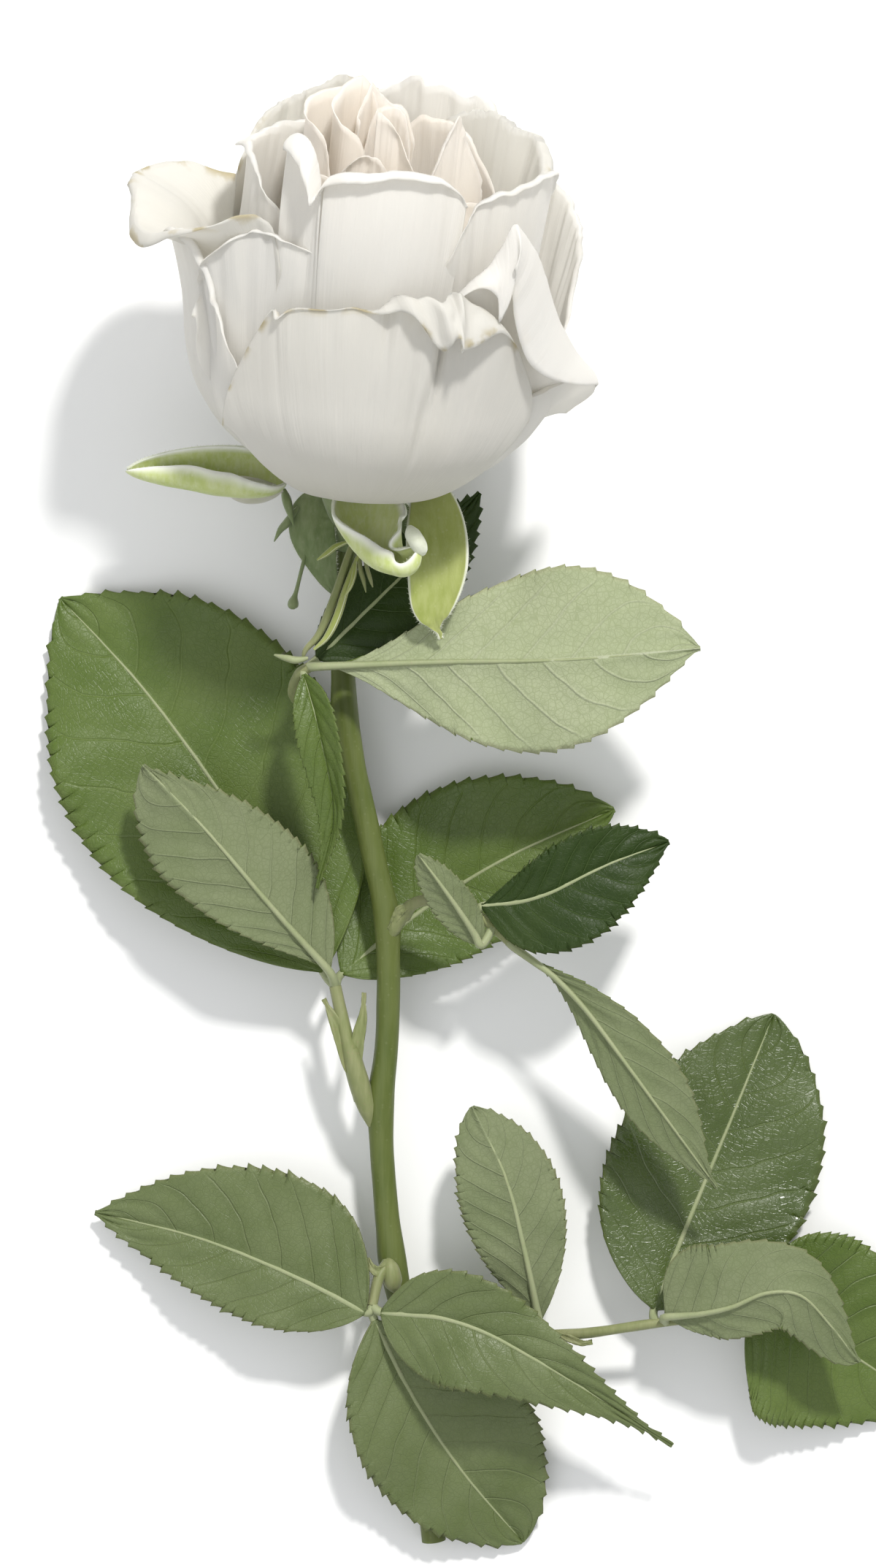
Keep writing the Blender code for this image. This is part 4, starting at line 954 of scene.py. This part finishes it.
sepals = {
    "sepal_left": dict(
        midrib=[(-29, 58.4, 24.6), (-38, 58.2, 25.4), (-48, 58.8, 26.6), (-59.4, 59.8, 26)],
        left=(11.5, 0.42), right=(6.4, 0.4), fullness=1.15, fold=12, finish="sepalPale", curl=((0.5, 0.5),
        (2.4, 3.2, 3.7, 3.4))),
    "sepal_front": dict(
        midrib=[(-14.6, 57, 32), (-14.2, 50, 33.6), (-11.2, 44, 36.4), (-6.2, 41.6, 39.6),
            (-3.4, 44.6, 42.4)],
        left=(8.8, 0.34), right=(10.5, 0.46), fullness=1.1, fold=8, finish="sepalPale",
        curl=((1.2, 1.9, 3.3, 3.9, 3.2), (0.5, 0.7))),
    "sepal_right": dict(
        midrib=[(-4, 61, 25.4), (-0.4, 52, 29), (0.6, 42, 31), (-0.6, 33.4, 32), (-0.4, 30.4, 31.6),
            (0.6, 27.6, 30.6)],
        left=(5.2, 0.34), right=(6.6, 0.36), fullness=3, fold=8, curl=((0.3, 0.3), (0.3, 0.3))),
    "sepal_back_left": dict(
        midrib=[(-22.4, 56.4, 20.6), (-24.4, 50, 22), (-22.6, 43, 23), (-19.4, 35.4, 22)],
        left=(4.6, 0.34), right=(4.4, 0.34), fullness=1.5, fold=-12, tilt=(10, 10), finish="sepalDark"),
    "sepal_under": dict(
        midrib=[(-11.6, 56, 15.6), (-8.6, 50, 11), (-7.6, 43, 9), (-7, 35, 8)],
        left=(4.8, 0.4), right=(4.8, 0.4), fullness=1.6, fold=10, finish="sepalDark"),
}
sepalBuild = {"rows": 60, "columns": 22, "wall": 0.55}
# thin leafy strips and one club-ended thread below the bloom: finish, radii, route
bracts = {
    "bract_long": ("stalkGreen", (0.5, 0.75, 0.8, 0.7, 0.5, 0.2), [
        (-16.2, 46.4, 27), (-18.4, 39.5, 28.6), (-20.6, 33.2, 29), (-22.8, 28.3, 28.6), (-25.2, 25.6, 28),
        (-25.9, 23.4, 27.2)]),
    "bract_second": ("sepalGreen", (0.5, 0.7, 0.75, 0.6, 0.25), [
        (-14.4, 45, 27), (-17.2, 38.1, 29), (-19.2, 31.8, 30), (-21.2, 27.9, 29.4), (-23.6, 25.6, 28.8)]),
    "bract_pale": ("ribPale", (0.3, 0.7, 0.6, 0.15), [
        (-24.8, 24, 27.8), (-27, 23.6, 28.2), (-29, 24, 28), (-31.2, 24.6, 27)]),
    "bract_short_one": ("stalkGreen", (0.3, 0.45, 0.4, 0.1), [
        (-15, 44, 27), (-14.8, 41, 29), (-14.2, 38.8, 30), (-13.7, 36.4, 30)]),
    "bract_short_two": ("stalkGreen", (0.3, 0.4, 0.35, 0.1), [
        (-14, 44, 27), (-13.6, 41.4, 29), (-12.9, 39, 30), (-12.4, 37.4, 30)]),
    "bract_short_three": ("sepalGreen", (0.3, 0.5, 0.4, 0.1), [
        (-15.6, 43, 27.6), (-15.9, 40.2, 29.4), (-16.6, 37.6, 30.6), (-17.8, 35.6, 30.6)]),
    "bract_crossing": ("sepalGreen", (0.3, 0.55, 0.5, 0.15), [
        (-17, 46.2, 28.6), (-19.4, 45.2, 29.4), (-21.2, 43.8, 29.6), (-23, 42.6, 29.4)]),
    "bract_dark": ("sepalDark", (0.5, 0.9, 0.7, 0.12), [
        (-29.6, 56.4, 22.6), (-29, 54.4, 23), (-28.4, 52.2, 23), (-27.6, 49.4, 22.6)]),
    "bract_small": ("sepalDark", (0.3, 0.6, 0.8, 0.6, 0.12), [
        (-26.8, 53, 21.6), (-28, 51.4, 22), (-29, 49.9, 22.2), (-30.2, 48.6, 22), (-31.4, 46.4, 21.4)]),
    "bract_club": ("sepalDark", (0.45, 0.38, 0.36, 0.36, 0.5, 1, 0.95, 0.3), [
        (-22, 48.4, 20.6), (-24.8, 45.2, 21.6), (-26, 41.4, 22.4), (-27, 37.4, 22.6), (-27.4, 36, 22.6),
        (-27.7, 34.8, 22.6), (-27.8, 33.9, 22.6), (-27.8, 33.4, 22.6)]),
}
bractBuild = {"points": 48, "sides": 10, "roughen": 0.1}
# the woolly rolled end of the front sepal
frontTip = {
    "route": [(-5.4, 48.4, 43), (-4.8, 47, 43.6), (-4, 45.6, 43.6), (-3.2, 44.2, 43), (-2.8, 43.2, 42.4)],
    "radii": (0.5, 1.35, 1.5, 1.5, 1.2, 0.5), "points": 32, "sides": 20, "roughen": 0.12}
# the papery base of the folded sepal
leftPaper = {
    "midrib": [(-40, 57, 27.2), (-36.5, 56, 27.6), (-33.2, 55.8, 27), (-29.6, 56.2, 25.6)],
    "left": (2.6, 0.35), "right": (2.6, 0.35), "fullness": 1.0, "fold": 4, "rows": 24, "columns": 16,
    "wall": 0.14}
wool = {"hairs": 150, "from": 0.06, "span": 0.93, "roots": (0.93, 1.0), "lean": 0.7, "length": (0.35, 0.85),
        "thickness": 0.045}


def sepalSurface(sepal, seed):
    # curl: how far each half rolls over its own margin, in radians, right half first
    foldUp = math.radians(sepal["fold"])
    rightCurl, leftCurl = sepal.get("curl", ((0.1, 0.1), (0.1, 0.1)))

    def surface(s, t):
        point, way, across, over, width, reach = bladePlace(sepal, s, t, 0.4)
        edge = abs(t)
        curl = along(leftCurl if t > 0 else rightCurl, s) * (1.0 + 0.12 * wobble(s * 5.0, seed, 1.0))
        bend = curl * edge
        outward = reach * math.sin(bend) / max(bend, 0.001)
        lift = reach * (1.0 - math.cos(bend)) / max(bend, 0.001)
        lift += math.tan(foldUp) * outward
        lift += 0.5 * wobble(s * 4.0, t * 1.5, seed) * edge + 0.25 * wobble(s * 14.0, t * 3.0, seed) * edge
        return point + across * math.copysign(1.0, t) * outward + over * lift

    return surface


def growWool(name, node, surface, seed):
    # short pale hairs along the margin, each a thin three-sided spike
    dice = random.Random(seed)
    thick = wool["thickness"] * mm
    corners = []
    faces = []
    for side in (-1.0, 1.0):
        for step in range(wool["hairs"]):
            s = wool["from"] + wool["span"] * (step + dice.random()) / wool["hairs"]
            root = inMetres(surface(s, side * dice.uniform(*wool["roots"])))
            outward = root - inMetres(surface(s, side * 0.8))
            if outward.length < 0.00002:
                continue
            lean = Vector((dice.uniform(-1, 1), dice.uniform(-1, 1), dice.uniform(-1, 1))) * wool["lean"]
            way = (outward.normalized() + lean).normalized()
            length = dice.uniform(*wool["length"]) * mm
            aside = way.orthogonal().normalized() * thick
            other = way.cross(aside).normalized() * thick
            first = len(corners)
            back = root - aside * 0.5
            corners += [root + aside, back + other, back - other, root + way * length]
            faces += [(first, first + 2, first + 1), (first, first + 1, first + 3),
                      (first + 1, first + 2, first + 3), (first + 2, first, first + 3)]
    mesh = bpy.data.meshes.new(name)
    mesh.from_pydata(corners, [], faces)
    mesh.materials.append(finishes["sepalWool"])
    piece = bpy.data.objects.new(name, mesh)
    bpy.context.collection.objects.link(piece)
    settle(piece, node)


def buildSepals():
    for order, (node, sepal) in enumerate(sepals.items()):
        green = finishes[sepal.get("finish", "sepalGreen")]
        surface = sepalSurface(sepal, order * 1.9 + 0.4)
        skins = [green, green, finishes["sepalWool"]]
        settle(makeSheet(node + "_blade", surface, sepalBuild, skins), node)
        growWool(node + "_wool", node, surface, order + 11)
    for name, (finish, radii, route) in bracts.items():
        piece = makeRod(name, dict(bractBuild, radii=radii, route=route), finishes[finish])
        settle(piece, "sepal_back_left")
    settle(makeRod("sepal_front_tip", frontTip, finishes["sepalWool"]), "sepal_front")
    papery = [finishes["petalWorn"]] * 3
    paper = makeSheet("sepal_left_paper", sepalSurface(leftPaper, 5.1), leftPaper, papery)
    settle(paper, "sepal_left")


buildBloom()
print("bloom built")
buildLeaves()
print("leaves built")
buildStalks()
buildStem()
buildHip()
buildSepals()
print("green parts built")

floorLook = {"size": 6.0, "colours": ((0.9, 0.9, 0.895), (0.93, 0.93, 0.925)), "grain": 40.0, "rough": 0.9}
lamps = {
    "key": dict(place=(0.36, 1.02, 1.26), size=0.16, power=24.0, colour=(1.0, 0.985, 0.96)),
    "fill": dict(place=(-0.5, -0.5, 1.6), size=1.4, power=6.0, colour=(0.985, 0.99, 1.0)),
}
room = {"colour": (0.97, 0.985, 1.0, 1.0), "strength": 0.66}
camera = {"place": (-0.0101, 0.0062, 1.22), "lens": 143.7, "sensorHeight": 36.0, "farthest": 10.0}


def buildFloor():
    bpy.ops.object.select_all(action="DESELECT")
    bpy.ops.mesh.primitive_plane_add(size=floorLook["size"], location=(0, 0, 0))
    floor = bpy.context.object
    floor.name = "paleFloor"
    finish, tree, shader, output = newFinish("floorFinish")
    place = addNode(tree, "ShaderNodeTexCoord").outputs["Object"]
    grain = noiseOf(tree, place, floorLook["grain"])
    colour = blendColours(tree, grain, *floorLook["colours"])
    feedAll(tree, shader, {"Base Color": colour, "Roughness": floorLook["rough"]})
    floor.data.materials.append(finish)


def lightScene():
    for name, lamp in lamps.items():
        light = bpy.data.lights.new(name, "AREA")
        light.shape = "SQUARE"
        light.size = lamp["size"]
        light.energy = lamp["power"]
        light.color = lamp["colour"]
        holder = bpy.data.objects.new(name, light)
        holder.location = lamp["place"]
        holder.rotation_euler = (-Vector(lamp["place"])).to_track_quat("-Z", "Y").to_euler()
        bpy.context.collection.objects.link(holder)
    world = bpy.data.worlds.new("softRoom")
    world.use_nodes = True
    backdrop = world.node_tree.nodes["Background"]
    backdrop.inputs["Color"].default_value = room["colour"]
    backdrop.inputs["Strength"].default_value = room["strength"]
    bpy.context.scene.world = world
    bpy.context.scene.view_settings.view_transform = "Standard"


def placeCamera():
    # straight above, framed to the whole rose
    lens = bpy.data.cameras.new("viewFromAbove")
    lens.sensor_fit = "VERTICAL"
    lens.sensor_height = camera["sensorHeight"]
    lens.lens = camera["lens"]
    lens.clip_end = camera["farthest"]
    holder = bpy.data.objects.new("viewFromAbove", lens)
    holder.location = camera["place"]
    bpy.context.collection.objects.link(holder)
    bpy.context.scene.camera = holder


buildFloor()
lightScene()
placeCamera()
print("floor, light and camera placed")
